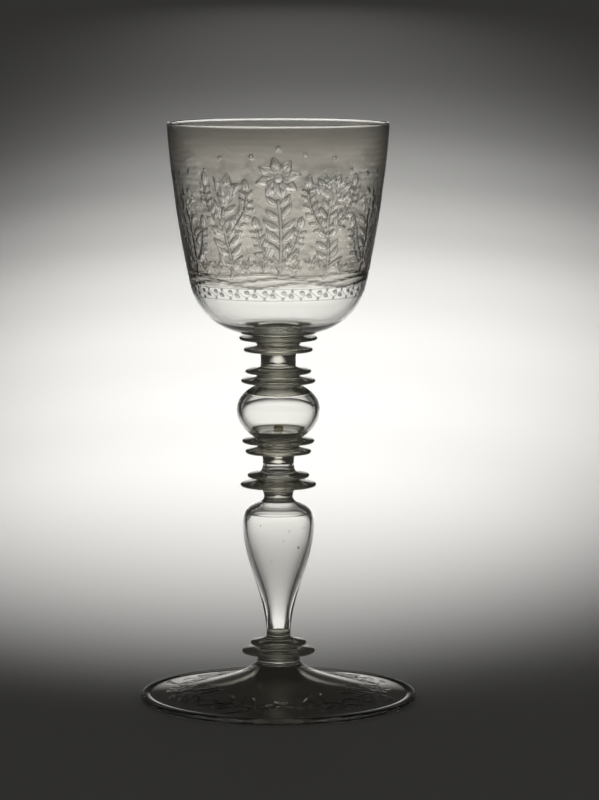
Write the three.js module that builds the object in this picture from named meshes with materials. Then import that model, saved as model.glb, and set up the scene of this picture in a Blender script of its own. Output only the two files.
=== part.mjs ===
// A blown and engraved glass goblet on a tall hollow stem, in millimetres. It stands on z = 0, its axis on Z.
// Every piece is a separate gather of glass, turned about the one axis. The pieces meet on flat faces, where
// they were pressed together hot, so each piece starts at the height where the piece below it ends.
import * as THREE from "three";

// Steps round the axis, for the wide pieces, the stem and the small bead.
const WIDE_STEPS = 56;
const STEM_STEPS = 28;
const BEAD_STEPS = 16;

// Foot: a blown disc that rises to a solid neck, with its edge folded under into a hem.
const FOOT_RADIUS = 68.2;
const HEM_THICKNESS = 3.4;
const HEM_WIDTH = 4.3;
const HEM_STEP = 0.5;
const RESTING_RING_WIDTH = 1.8;
const FOOT_WALL = 2.1;
const FOOT_NECK_RADIUS = 10.8;
const FOOT_TOP_RADIUS = 10.4;
const FOOT_NECK_HEIGHT = 18.9;
const FOOT_TOP_RISE = 2.3;
const FOOT_NECK_SWEEP = 3.8;
const FOOT_EDGE_SWEEP = 28;
const FOOT_EDGE_RISE = 2.1;
const FOOT_HOLLOW_HEIGHT = 17;
const FOOT_HOLLOW_RADIUS = 9.3;
const FOOT_HOLLOW_CORNER = 0.5;
const FOOT_HOLLOW_SWEEP = 5.6;
const FOOT_HOLLOW_STEPS = 14;

// Mereses: thin flat discs with a short solid core above and below. They are listed from the foot upwards.
// radius is the disc's, and tip is the height of the disc's edge above the merese's lower face. core and root
// are the radii of the lower and upper faces, and drop is how far the upper side falls towards the edge.
// neck is the height of an upright neck above the upper side, where there is one.
const MERESE_EDGE = 0.8;
const CORE_FILLET = 0.5;
const FOOT_MERESE_LOWER = { height: 5.1, radius: 18.15, tip: 2.9, core: 10.4, root: 9.8, drop: 1.2 };
const FOOT_MERESE_UPPER = {
  height: 7.9, radius: 13.9, tip: 1.8, core: 9.8, root: 5.95, drop: 2.4, neck: 2.9,
};
const BALUSTER_MERESE_LOWER = { height: 4.5, radius: 18.7, tip: 2.3, core: 8.4, root: 10.5, drop: 1.1 };
const BALUSTER_MERESE_UPPER = { height: 4.2, radius: 15.3, tip: 2.3, core: 10.5, root: 8.9, drop: 0.7 };
const KNOP_BASE_MERESE_LOWER = { height: 4.5, radius: 16.25, tip: 1.9, core: 8.0, root: 10.1, drop: 1.2 };
const KNOP_BASE_MERESE_UPPER = { height: 4.4, radius: 17.8, tip: 2.6, core: 10.1, root: 11.2, drop: 0.7 };
const KNOP_TOP_MERESE_LOWER = { height: 4.6, radius: 18.3, tip: 2.2, core: 10.9, root: 10.4, drop: 1.1 };
const KNOP_TOP_MERESE_UPPER = { height: 4.6, radius: 16.2, tip: 2.3, core: 10.4, root: 8.9, drop: 0.8 };
const BOWL_MERESE_LOWER = { height: 4.4, radius: 17.0, tip: 2.2, core: 8.9, root: 10.3, drop: 0.9 };
const BOWL_MERESE_UPPER = { height: 4.9, radius: 19.2, tip: 3.5, core: 10.3, root: 12.0, drop: 0.5 };
const BOWL_COLLAR = { height: 1.5, radius: 18.3, lip: 0.5, core: 12.0 };

// Baluster: a hollow inverted pear, solid at its neck and open below, where the merese closes it.
// Its heights add up: from its foot to the belly, on to the narrowest neck, and on to its top.
const BALUSTER_BELLY_RADIUS = 17.6;
const BALUSTER_BELLY_HEIGHT = 53.6;
const BALUSTER_SHOULDER_HEIGHT = 13.3;
const BALUSTER_TOP_HEIGHT = 3.8;
const BALUSTER_FOOT_RADIUS = 5.95;
const BALUSTER_FOOT_FLARE = 1.3;
const BALUSTER_FOOT_SWEEP = 20.3;
const BALUSTER_LOWER_SWEEP = 18.4;
const BALUSTER_SHOULDER_SWEEP = 11.7;
const BALUSTER_NECK_RADIUS = 7.1;
const BALUSTER_NECK_SWEEP = 4.6;
const BALUSTER_TOP_RADIUS = 8.4;
const BALUSTER_WALL = 2.0;
const BALUSTER_MOUTH_RADIUS = 4.1;
const BALUSTER_CEILING_RISE = 11.1;
const BALUSTER_CEILING_SWEEP = 9.6;
const BALUSTER_CEILING_DROP = 7.0;
const BALUSTER_THROAT_RADIUS = 2.6;
const BALUSTER_THROAT_SWEEP = 22;

// Middle neck: a short waisted tube with a flat bubble in its lower half.
const MIDDLE_NECK_HEIGHT = 8.1;
const MIDDLE_NECK_RADIUS = 7.65;
const MIDDLE_NECK_TOP_RADIUS = 8.0;
const MIDDLE_NECK_FLARE_RADIUS = 8.9;
const MIDDLE_NECK_FLARE_HEIGHT = 1.4;
const BUBBLE_RADIUS = 5.8;
const BUBBLE_HEIGHT = 4.3;
const BUBBLE_CORNER = 0.5;

// Knop: a hollow flattened ball with a thick floor and ceiling, and a blowing hole in its top. The crown is
// what lies above its belly.
const KNOP_RADIUS = 20.5;
const KNOP_BELLY_HEIGHT = 14.1;
const KNOP_CROWN_HEIGHT = 11.7;
const KNOP_FOOT_RADIUS = 11.4;
const KNOP_TOP_RADIUS = 10.9;
const KNOP_WALL = 2.2;
const KNOP_FLOOR = 3.7;
const KNOP_CEILING = 4.4;
const KNOP_VOID_CEILING_SWEEP = 2.8;
const KNOP_VOID_SIDE_RISE = 7.0;
const KNOP_VOID_SIDE_DROP = 8.5;
const KNOP_VOID_FLOOR_SWEEP = 16;
const BLOWING_HOLE_RADIUS = 3.2;
const BEAD_RADIUS = 2.5;
const BEAD_HEIGHT = 2.3;
const BEAD_SEAT_MARGIN = 0.6;

// Upper neck: a short solid post.
const UPPER_NECK_HEIGHT = 6.2;
const UPPER_NECK_RADIUS = 8.7;

// Bowl: a bucket with a rounded base, thin at the lip and thick at the bottom.
const BOWL_LIP_RADIUS = 54.4;
const BOWL_LIP_WALL = 1.3;
const BOWL_LIP_CROWN = 0.22;
const BOWL_SHOULDER_RADIUS = 43.4;
const BOWL_SHOULDER_HEIGHT = 24.7;
const BOWL_SIDE_HEIGHT = 78.3;
const BOWL_SHOULDER_WALL = 1.8;
const BOWL_SEAT_RADIUS = 19.0;
const BOWL_FLOOR = 3.0;
const BOWL_LIP_INSET = 1.0;
const BOWL_LIP_SWEEP = 20.5;
const BOWL_SIDE_FLARE = 5.2;
const BOWL_SIDE_SWEEP = 23.3;
const BOWL_SHOULDER_INSET = 2.9;
const BOWL_SHOULDER_SWEEP = 15;
const BOWL_INNER_SHOULDER_SWEEP = 13.7;
const BOWL_BASE_SWEEP = 10.3;
const BOWL_BASE_RISE = 2.4;
const BOWL_MOUND_RADIUS = 18;
const BOWL_MOUND_HEIGHT = 2;
const BOWL_MOUND_EDGE_SWEEP = 4.5;
const BOWL_MOUND_CROWN_SWEEP = 9;

// A new material for one piece of clear glass, in the given tint.
function glass(tint) {
  return new THREE.MeshStandardMaterial({ color: tint, roughness: 0.06, metalness: 0 });
}

const CLEAR = 0xe6e7df;
const THICK = 0xa9a893;

// One closed piece, its outline of (radius, height) turned about the goblet's axis. Lathes turn about Y,
// so the finished shape is tipped up to stand on Z.
function turned(name, outline, steps, tint, curveSteps) {
  const points = outline.getPoints(curveSteps);
  const geometry = new THREE.LatheGeometry(points, steps).rotateX(Math.PI / 2);
  const mesh = new THREE.Mesh(geometry, glass(tint));
  mesh.name = name;
  return mesh;
}

// Points along a Bezier curve of any degree, from after its start to its end.
function curvePoints(controls, count) {
  const points = [];
  for (let i = 1; i <= count; i += 1) {
    let row = controls;
    while (row.length > 1) {
      row = row.slice(1).map((end, k) => row[k].clone().lerp(end, i / count));
    }
    points.push(row[0]);
  }
  return points;
}

// The foot's outline, from the middle of its underside out to the hem and back up to its neck. The hollow
// below it ends in a flat ceiling inside the neck.
function foot() {
  const hemRadius = HEM_THICKNESS / 2;
  const ringInner = FOOT_RADIUS - hemRadius - RESTING_RING_WIDTH / 2;
  const ringOuter = ringInner + RESTING_RING_WIDTH;
  const hemInner = FOOT_RADIUS - HEM_WIDTH;
  const plateTop = HEM_THICKNESS - HEM_STEP;
  const outline = new THREE.Path();
  const hollowSide = FOOT_HOLLOW_HEIGHT - FOOT_HOLLOW_CORNER;
  outline.moveTo(0, FOOT_HOLLOW_HEIGHT);
  outline.lineTo(FOOT_HOLLOW_RADIUS - FOOT_HOLLOW_CORNER, FOOT_HOLLOW_HEIGHT);
  outline.quadraticCurveTo(FOOT_HOLLOW_RADIUS, FOOT_HOLLOW_HEIGHT, FOOT_HOLLOW_RADIUS, hollowSide);
  const hollow = [
    new THREE.Vector2(FOOT_HOLLOW_RADIUS, hollowSide),
    new THREE.Vector2(FOOT_HOLLOW_RADIUS, hollowSide - FOOT_HOLLOW_SWEEP),
    new THREE.Vector2(hemInner - FOOT_EDGE_SWEEP, plateTop - FOOT_WALL + FOOT_EDGE_RISE),
    new THREE.Vector2(hemInner, plateTop - FOOT_WALL),
  ];
  for (const point of curvePoints(hollow, FOOT_HOLLOW_STEPS)) {
    outline.lineTo(point.x, point.y);
  }
  outline.lineTo(ringInner, 0);
  outline.lineTo(ringOuter, 0);
  outline.quadraticCurveTo(FOOT_RADIUS, 0, FOOT_RADIUS, hemRadius);
  outline.quadraticCurveTo(FOOT_RADIUS, HEM_THICKNESS, FOOT_RADIUS - hemRadius, HEM_THICKNESS);
  outline.lineTo(hemInner, plateTop);
  outline.bezierCurveTo(
    hemInner - FOOT_EDGE_SWEEP, plateTop + FOOT_EDGE_RISE,
    FOOT_NECK_RADIUS, FOOT_NECK_HEIGHT - FOOT_NECK_SWEEP,
    FOOT_NECK_RADIUS, FOOT_NECK_HEIGHT,
  );
  outline.lineTo(FOOT_TOP_RADIUS, FOOT_NECK_HEIGHT + FOOT_TOP_RISE);
  outline.lineTo(0, FOOT_NECK_HEIGHT + FOOT_TOP_RISE);
  return turned("foot", outline, WIDE_STEPS, CLEAR, 4);
}

// A merese: the underside slopes up from the core to a rounded edge, and the upper side is nearly flat.
function merese(name, base, size) {
  const tipInner = size.radius - MERESE_EDGE;
  const tip = base + size.tip;
  const top = base + size.height;
  const neck = size.neck ?? 0;
  const outline = new THREE.Path();
  outline.moveTo(0, base);
  outline.lineTo(size.core, base);
  outline.quadraticCurveTo(size.core + CORE_FILLET, tip - 2 * MERESE_EDGE, tipInner, tip - MERESE_EDGE);
  outline.absarc(tipInner, tip, MERESE_EDGE, -Math.PI / 2, Math.PI / 2);
  outline.quadraticCurveTo(size.root + CORE_FILLET, tip + MERESE_EDGE + size.drop / 2, size.root, top - neck);
  if (neck > 0) {
    outline.lineTo(size.root, top);
  }
  outline.lineTo(0, top);
  return turned(name, outline, STEM_STEPS, THICK, 2);
}

// The collar pressed on the bowl's base: flat above, with a thin lip, and drawn in below to the merese.
function bowlCollar(base) {
  const top = base + BOWL_COLLAR.height;
  const outline = new THREE.Path();
  outline.moveTo(0, base);
  outline.lineTo(BOWL_COLLAR.core, base);
  outline.quadraticCurveTo(
    BOWL_COLLAR.core + CORE_FILLET, top - BOWL_COLLAR.lip,
    BOWL_COLLAR.radius, top - BOWL_COLLAR.lip,
  );
  outline.lineTo(BOWL_COLLAR.radius, top);
  outline.lineTo(0, top);
  return turned("bowl_collar", outline, STEM_STEPS, THICK, 3);
}

// The hollow baluster: up the outside, across its solid top, and down the hollow to the open mouth.
function baluster(base) {
  const belly = base + BALUSTER_BELLY_HEIGHT;
  const neck = belly + BALUSTER_SHOULDER_HEIGHT;
  const top = neck + BALUSTER_TOP_HEIGHT;
  const ceiling = belly + BALUSTER_CEILING_RISE;
  const hollowRadius = BALUSTER_BELLY_RADIUS - BALUSTER_WALL;
  const flare = BALUSTER_FOOT_RADIUS + BALUSTER_FOOT_FLARE;
  const outline = new THREE.Path();
  outline.moveTo(BALUSTER_MOUTH_RADIUS, base);
  outline.lineTo(BALUSTER_FOOT_RADIUS, base);
  outline.bezierCurveTo(
    flare, base + BALUSTER_FOOT_SWEEP,
    BALUSTER_BELLY_RADIUS, belly - BALUSTER_LOWER_SWEEP,
    BALUSTER_BELLY_RADIUS, belly,
  );
  outline.bezierCurveTo(
    BALUSTER_BELLY_RADIUS, belly + BALUSTER_SHOULDER_SWEEP,
    BALUSTER_NECK_RADIUS, neck - BALUSTER_NECK_SWEEP,
    BALUSTER_NECK_RADIUS, neck,
  );
  outline.lineTo(BALUSTER_TOP_RADIUS, top);
  outline.lineTo(0, top);
  outline.lineTo(0, ceiling);
  outline.bezierCurveTo(
    hollowRadius - BALUSTER_CEILING_SWEEP, ceiling,
    hollowRadius, belly + BALUSTER_CEILING_DROP,
    hollowRadius, belly,
  );
  outline.bezierCurveTo(
    hollowRadius, belly - BALUSTER_LOWER_SWEEP,
    BALUSTER_THROAT_RADIUS, base + BALUSTER_THROAT_SWEEP,
    BALUSTER_MOUTH_RADIUS, base,
  );
  return turned("baluster", outline, STEM_STEPS, CLEAR, 6);
}

// The middle neck: waisted outside, with the flat bubble, round as a coin, open to the merese below.
function middleNeck(base) {
  const top = base + MIDDLE_NECK_HEIGHT;
  const waist = base + MIDDLE_NECK_HEIGHT / 2;
  const bubbleTop = base + BUBBLE_HEIGHT;
  const outline = new THREE.Path();
  outline.moveTo(BUBBLE_RADIUS, base);
  outline.lineTo(MIDDLE_NECK_FLARE_RADIUS, base);
  outline.quadraticCurveTo(MIDDLE_NECK_RADIUS, base + MIDDLE_NECK_FLARE_HEIGHT, MIDDLE_NECK_RADIUS, waist);
  outline.lineTo(MIDDLE_NECK_TOP_RADIUS, top);
  outline.lineTo(0, top);
  outline.lineTo(0, bubbleTop);
  outline.lineTo(BUBBLE_RADIUS - BUBBLE_CORNER, bubbleTop);
  outline.quadraticCurveTo(BUBBLE_RADIUS, bubbleTop, BUBBLE_RADIUS, bubbleTop - BUBBLE_CORNER);
  outline.lineTo(BUBBLE_RADIUS, base);
  return turned("middle_neck", outline, STEM_STEPS, CLEAR, 4);
}

// The hollow knop: an outer ball flattened at both poles, and a hollow that opens at the blowing hole.
function knop(base) {
  const belly = base + KNOP_BELLY_HEIGHT;
  const top = belly + KNOP_CROWN_HEIGHT;
  const floor = base + KNOP_FLOOR;
  const ceiling = top - KNOP_CEILING;
  const hollowRadius = KNOP_RADIUS - KNOP_WALL;
  const footAngle = Math.acos(KNOP_FOOT_RADIUS / KNOP_RADIUS);
  const topAngle = Math.acos(KNOP_TOP_RADIUS / KNOP_RADIUS);
  const lowerHalf = KNOP_BELLY_HEIGHT / Math.sin(footAngle);
  const upperHalf = KNOP_CROWN_HEIGHT / Math.sin(topAngle);
  const outline = new THREE.Path();
  outline.moveTo(0, base);
  outline.lineTo(KNOP_FOOT_RADIUS, base);
  outline.absellipse(0, belly, KNOP_RADIUS, lowerHalf, -footAngle, 0);
  outline.absellipse(0, belly, KNOP_RADIUS, upperHalf, 0, topAngle);
  outline.lineTo(BLOWING_HOLE_RADIUS, top);
  outline.lineTo(BLOWING_HOLE_RADIUS, ceiling);
  outline.bezierCurveTo(
    hollowRadius - KNOP_VOID_CEILING_SWEEP, ceiling,
    hollowRadius, belly + KNOP_VOID_SIDE_RISE,
    hollowRadius, belly,
  );
  outline.bezierCurveTo(
    hollowRadius, belly - KNOP_VOID_SIDE_DROP,
    KNOP_VOID_FLOOR_SWEEP, floor,
    BEAD_RADIUS + BEAD_SEAT_MARGIN, floor,
  );
  outline.lineTo(0, floor);
  return turned("knop", outline, STEM_STEPS, CLEAR, 4);
}

// The bead on the middle of the knop's floor, a half ball with a flat base.
function knopBead(floor) {
  const outline = new THREE.Path();
  outline.moveTo(0, floor);
  outline.lineTo(BEAD_RADIUS, floor);
  outline.absellipse(0, floor, BEAD_RADIUS, BEAD_HEIGHT, 0, Math.PI / 2);
  return turned("knop_bead", outline, BEAD_STEPS, THICK, 3);
}

// The upper neck, a plain solid post.
function upperNeck(base) {
  const outline = new THREE.Path();
  outline.moveTo(0, base);
  outline.lineTo(UPPER_NECK_RADIUS, base);
  outline.lineTo(UPPER_NECK_RADIUS, base + UPPER_NECK_HEIGHT);
  outline.lineTo(0, base + UPPER_NECK_HEIGHT);
  return turned("upper_neck", outline, STEM_STEPS, CLEAR, 1);
}

// The bowl: up the outside from its flat seat, round the lip, and down the inside to its low mound.
function bowl(base) {
  const shoulder = base + BOWL_SHOULDER_HEIGHT;
  const lip = shoulder + BOWL_SIDE_HEIGHT;
  const floor = base + BOWL_FLOOR;
  const lipRound = BOWL_LIP_WALL / 2;
  const innerShoulder = BOWL_SHOULDER_RADIUS - BOWL_SHOULDER_WALL;
  const innerLip = BOWL_LIP_RADIUS - BOWL_LIP_WALL;
  const outline = new THREE.Path();
  outline.moveTo(0, base);
  outline.lineTo(BOWL_SEAT_RADIUS, base);
  outline.bezierCurveTo(
    BOWL_SEAT_RADIUS + BOWL_BASE_SWEEP, base + BOWL_BASE_RISE,
    BOWL_SHOULDER_RADIUS - BOWL_SHOULDER_INSET, shoulder - BOWL_SHOULDER_SWEEP,
    BOWL_SHOULDER_RADIUS, shoulder,
  );
  outline.bezierCurveTo(
    BOWL_SHOULDER_RADIUS + BOWL_SIDE_FLARE, shoulder + BOWL_SIDE_SWEEP,
    BOWL_LIP_RADIUS - BOWL_LIP_INSET, lip - lipRound - BOWL_LIP_SWEEP,
    BOWL_LIP_RADIUS, lip - lipRound,
  );
  outline.bezierCurveTo(
    BOWL_LIP_RADIUS, lip + BOWL_LIP_CROWN,
    innerLip, lip + BOWL_LIP_CROWN,
    innerLip, lip - lipRound,
  );
  outline.bezierCurveTo(
    innerLip - BOWL_LIP_INSET, lip - lipRound - BOWL_LIP_SWEEP,
    innerShoulder + BOWL_SIDE_FLARE, shoulder + BOWL_SIDE_SWEEP,
    innerShoulder, shoulder,
  );
  outline.bezierCurveTo(
    innerShoulder - BOWL_SHOULDER_INSET, shoulder - BOWL_INNER_SHOULDER_SWEEP,
    BOWL_MOUND_RADIUS + BOWL_BASE_SWEEP, floor,
    BOWL_MOUND_RADIUS, floor,
  );
  outline.bezierCurveTo(
    BOWL_MOUND_RADIUS - BOWL_MOUND_EDGE_SWEEP, floor,
    BOWL_MOUND_CROWN_SWEEP, floor + BOWL_MOUND_HEIGHT,
    0, floor + BOWL_MOUND_HEIGHT,
  );
  return turned("bowl", outline, WIDE_STEPS, CLEAR, 5);
}

// The stem, from the foot's upper merese to the bowl's collar. Each piece stands on the one below.
function stem(base) {
  const group = new THREE.Group();
  let height = base;
  function addMerese(name, size) {
    group.add(merese(name, height, size));
    height += size.height;
  }
  addMerese("foot_merese_lower", FOOT_MERESE_LOWER);
  addMerese("foot_merese_upper", FOOT_MERESE_UPPER);
  group.add(baluster(height));
  height += BALUSTER_BELLY_HEIGHT + BALUSTER_SHOULDER_HEIGHT + BALUSTER_TOP_HEIGHT;
  addMerese("baluster_merese_lower", BALUSTER_MERESE_LOWER);
  addMerese("baluster_merese_upper", BALUSTER_MERESE_UPPER);
  group.add(middleNeck(height));
  height += MIDDLE_NECK_HEIGHT;
  addMerese("knop_base_merese_lower", KNOP_BASE_MERESE_LOWER);
  addMerese("knop_base_merese_upper", KNOP_BASE_MERESE_UPPER);
  group.add(knop(height));
  group.add(knopBead(height + KNOP_FLOOR));
  height += KNOP_BELLY_HEIGHT + KNOP_CROWN_HEIGHT;
  addMerese("knop_top_merese_lower", KNOP_TOP_MERESE_LOWER);
  addMerese("knop_top_merese_upper", KNOP_TOP_MERESE_UPPER);
  group.add(upperNeck(height));
  height += UPPER_NECK_HEIGHT;
  addMerese("bowl_merese_lower", BOWL_MERESE_LOWER);
  addMerese("bowl_merese_upper", BOWL_MERESE_UPPER);
  group.add(bowlCollar(height));
  return { group, top: height + BOWL_COLLAR.height };
}

const goblet = new THREE.Group();
const stemPieces = stem(FOOT_NECK_HEIGHT + FOOT_TOP_RISE);
goblet.add(foot(), stemPieces.group, bowl(stemPieces.top));

export default goblet;
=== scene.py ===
import math
import random

import bpy
import numpy as np
from bpy.props import FloatProperty, FloatVectorProperty, PointerProperty
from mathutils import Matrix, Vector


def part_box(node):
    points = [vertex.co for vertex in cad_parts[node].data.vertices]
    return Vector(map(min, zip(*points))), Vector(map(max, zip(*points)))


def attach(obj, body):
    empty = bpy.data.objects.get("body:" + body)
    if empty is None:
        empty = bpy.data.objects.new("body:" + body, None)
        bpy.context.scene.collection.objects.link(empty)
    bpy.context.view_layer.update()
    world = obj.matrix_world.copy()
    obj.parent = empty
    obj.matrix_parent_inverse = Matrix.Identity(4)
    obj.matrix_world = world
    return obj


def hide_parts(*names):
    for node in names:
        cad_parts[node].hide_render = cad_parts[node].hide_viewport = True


bl_info = {
    "name": "Engraved glass goblet",
    "version": (1, 0, 0),
    "blender": (4, 5, 0),
    "location": "3D View > Sidebar > Goblet",
    "description": "Builds a blown and engraved goblet on a tall hollow stem",
    "category": "Object",
}

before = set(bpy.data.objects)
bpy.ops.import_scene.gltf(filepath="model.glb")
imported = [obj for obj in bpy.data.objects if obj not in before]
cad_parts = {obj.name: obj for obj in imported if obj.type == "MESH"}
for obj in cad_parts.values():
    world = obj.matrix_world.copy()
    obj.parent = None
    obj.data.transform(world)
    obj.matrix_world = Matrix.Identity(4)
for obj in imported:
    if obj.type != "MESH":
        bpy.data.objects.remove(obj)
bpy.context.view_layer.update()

MM = 0.001
WELD = 1e-6
# Levels that are closer than this are one level.
NEAR = 10 * WELD
TURN = 2 * math.pi
QUARTER = math.pi / 2
BOWL_STEPS = 528
FOOT_STEPS = 512
STEM_STEPS = 192
SEED_STEPS = 10
CURVE_SAMPLES = 1200
SMOOTH_ANGLE = math.radians(42)

MERESES = (
    "foot_merese_lower", "foot_merese_upper",
    "baluster_merese_lower", "baluster_merese_upper",
    "knop_base_merese_lower", "knop_base_merese_upper",
    "knop_top_merese_lower", "knop_top_merese_upper",
    "bowl_merese_lower", "bowl_merese_upper",
)
NECKED_MERESE = "foot_merese_upper"


# Sizes, colours and light that a user would change

def linear(hex_value):
    """An sRGB hex value as three linear numbers."""
    parts = [int(hex_value[i:i + 2], 16) / 255 for i in (1, 3, 5)]
    return tuple(p / 12.92 if p <= 0.04045 else ((p + 0.055) / 1.055) ** 2.4 for p in parts)


def length(name, description, millimetres):
    """A length property, given in millimetres and kept in metres."""
    return FloatProperty(
        name=name, description=description, default=millimetres * MM, min=0, unit="LENGTH", precision=5,
    )


def shade(name, description, hex_value):
    """A colour property, given as an sRGB hex value and kept as linear light."""
    return FloatVectorProperty(
        name=name, description=description, default=linear(hex_value), size=3, min=0, max=1, subtype="COLOR",
    )


def amount(name, description, value):
    """A property for the strength of a light."""
    return FloatProperty(name=name, description=description, default=value, min=0)


def tilt(name, description, degrees):
    """An angle property, given in degrees and kept in radians."""
    return FloatProperty(name=name, description=description, default=math.radians(degrees), subtype="ANGLE")


class GobletFootSizes(bpy.types.PropertyGroup):
    """The blown foot, its folded hem and its engraved wreath."""
    hem_thickness: length("Hem thickness", "Height of the folded edge", 3.4)
    hem_width: length("Hem width", "How far the edge is folded under", 4.3)
    hem_step: length("Hem step", "Height of the hem above the plate beside it", 0.5)
    ring_width: length("Resting ring", "Width of the flat ring that touches the table", 1.8)
    wall: length("Wall", "Thickness of the plate beside the hem", 2.1)
    neck_radius: length("Neck radius", "Radius of the solid neck", 10.8)
    neck_height: length("Neck height", "Height where the neck ends and draws in", 18.9)
    neck_sweep: length("Neck sweep", "How long the neck keeps upright", 3.8)
    edge_sweep: length("Edge sweep", "How long the plate keeps nearly flat at its edge", 28)
    edge_rise: length("Edge rise", "Rise of the plate over the edge sweep", 2.1)
    hollow_height: length("Hollow height", "Height of the hollow's flat ceiling inside the neck", 17)
    hollow_radius: length("Hollow radius", "Radius of that ceiling", 9.3)
    hollow_corner: length("Hollow corner", "How softly the ceiling turns into the hollow's side", 0.5)
    hollow_sweep: length("Hollow sweep", "Height over which the hollow keeps upright below it", 5.6)
    seed_ring: length("Seed ring", "Radius of the ring of small bubbles in the neck", 6.6)
    seed_height: length("Seed height", "Height of that ring", 19.4)
    seed_radius: length("Seed radius", "Radius of the small bubbles in the neck", 0.26)
    wreath_depth: length("Wreath depth", "Depth of the engraved wreath", 0.28)
    wreath_inner: length("Wreath inner radius", "Radius inside which the foot is left clear", 28)


class GobletStemSizes(bpy.types.PropertyGroup):
    """The mereses, the baluster, the necks and the knop."""
    merese_edge: length("Merese edge", "Radius of the rounded edge of the discs", 0.8)
    core_fillet: length("Core fillet", "How softly a disc leaves its core", 0.5)
    merese_neck: length("Merese neck", "Height of the upright neck over the foot's upper disc", 2.9)
    collar_lip: length("Collar lip", "Thickness of the bowl collar at its edge", 0.5)
    belly_height: length("Baluster belly", "Height of the widest level above the baluster's foot", 53.6)
    shoulder_height: length("Baluster shoulder", "Height from the belly to the narrowest neck", 13.3)
    foot_flare: length("Baluster flare", "Flare of the baluster above its foot", 1.3)
    foot_sweep: length("Baluster foot sweep", "Height over which it leaves its foot", 20.3)
    lower_sweep: length("Baluster lower sweep", "Height over which it reaches the belly", 18.4)
    shoulder_sweep: length("Shoulder sweep", "Height over which it leaves the belly", 11.7)
    neck_radius: length("Baluster neck", "Radius of the narrowest neck", 7.1)
    neck_sweep: length("Baluster neck sweep", "Height over which it reaches the neck", 4.6)
    baluster_wall: length("Baluster wall", "Thickness of the baluster's wall", 2.0)
    mouth_radius: length("Void foot radius", "Radius of the void at its floor", 4.1)
    throat_radius: length("Void throat", "How close the void keeps to the axis above its floor", 2.6)
    throat_sweep: length("Throat sweep", "Height over which it leaves its floor", 22)
    void_floor: length("Void floor", "Glass between the void and the baluster's foot", 0.8)
    dome_rise: length("Void dome", "Height of the void's top above the belly", 11.1)
    dome_drop: length("Dome drop", "How far below its top the dome runs into the shoulder", 1.9)
    dome_reach: length("Dome reach", "How long the dome's top keeps nearly flat", 4.5)
    crease_rise: length("Crease", "Height above the belly where the void's side is creased", 4.8)
    crease_step: length("Crease step", "How much thicker the wall is above the crease", 0.1)
    waist_radius: length("Middle neck waist", "Radius of the middle neck's waist", 7.65)
    waist_flare: length("Middle neck flare", "Height of the flare at its foot", 1.4)
    bubble_radius: length("Bubble radius", "Radius of the flat bubble in the middle neck", 5.8)
    bubble_height: length("Bubble height", "Height of that bubble", 4.0)
    bubble_floor: length("Bubble floor", "Glass below that bubble", 0.3)
    bubble_corner: length("Bubble corner", "How softly the bubble's side turns into its ends", 0.4)
    leaf_radius: length("Leaf radius", "Radius of the thin bubble in the upper neck", 7.5)
    leaf_height: length("Leaf height", "Height of that bubble above the neck's foot", 1.7)
    leaf_thickness: length("Leaf thickness", "Thickness of that bubble", 0.25)
    knop_belly: length("Knop belly", "Height of the widest level above the knop's foot", 14.1)
    knop_wall: length("Knop wall", "Thickness of the knop's wall", 2.2)
    knop_ceiling: length("Knop ceiling", "Thickness of the knop's ceiling", 4.4)
    knop_corner: length("Knop corner", "How softly the void turns into its floor and ceiling", 0.5)
    knop_dish: length("Knop dish", "How far the void's floor rises towards its rim", 0.3)
    bead_wall: length("Bead wall", "Thickness of the glass round the bubble in the bead", 0.35)
    seed_radius: length("Seed radius", "Radius of the small bubbles in the glass", 0.28)


class GobletBowlSizes(bpy.types.PropertyGroup):
    """The bowl and its engraved zone."""
    lip_wall: length("Lip wall", "Thickness of the lip", 1.3)
    lip_inset: length("Lip inset", "How far the side leans in below the lip", 1.0)
    lip_sweep: length("Lip sweep", "Height over which it leans", 20.5)
    shoulder_radius: length("Shoulder radius", "Radius where the side meets the rounded base", 43.4)
    shoulder_height: length("Shoulder height", "Height of the rounded base", 24.7)
    shoulder_wall: length("Shoulder wall", "Thickness of the wall at the shoulder", 1.8)
    side_flare: length("Side flare", "Flare of the side above the shoulder", 5.2)
    side_sweep: length("Side sweep", "Height over which it flares", 23.3)
    shoulder_inset: length("Shoulder inset", "How far the base leans in below the shoulder", 2.9)
    shoulder_sweep: length("Shoulder sweep", "Height over which it leans outside", 15)
    inner_sweep: length("Inner sweep", "Height over which it leans inside", 13.7)
    base_sweep: length("Base sweep", "How long the base keeps nearly flat", 10.3)
    base_rise: length("Base rise", "Rise of the base over that sweep", 2.4)
    floor: length("Floor", "Thickness of the floor beside the mound", 3.0)
    mound_radius: length("Mound radius", "Radius of the low mound on the floor", 18)
    mound_height: length("Mound height", "Height of the mound", 2)
    mound_edge: length("Mound edge", "How softly the mound starts", 4.5)
    mound_crown: length("Mound crown", "How flat the mound's top is", 9)
    band_foot: length("Band foot", "Height of the lower cut line", 201.4)
    band_top: length("Band top", "Height of the upper cut line, where the matt zone starts", 207.1)
    zone_top: length("Zone top", "Height where the matt zone ends below the lip", 284.5)
    cut_depth: length("Cut depth", "Depth of the engraving", 0.3)


class GobletColours(bpy.types.PropertyGroup):
    """The colours of the glass and the stage."""
    bowl: shade("Bowl glass", "Tint of the thin clear bowl", "#FDFDFB")
    matt: shade("Matt glass", "Tint of the ground and engraved surface", "#EFE9DF")
    stem: shade("Stem glass", "Tint of the hollow pieces", "#FEFEFC")
    solid: shade("Solid glass", "Tint of the solid ends of the hollow pieces", "#E6E4DA")
    merese: shade("Thick glass", "Tint of the solid mereses", "#CECBB9")
    foot: shade("Foot glass", "Tint of the foot", "#F4F3EC")
    floor: shade("Floor", "Paint of the studio floor", "#EBEAE7")


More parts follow.
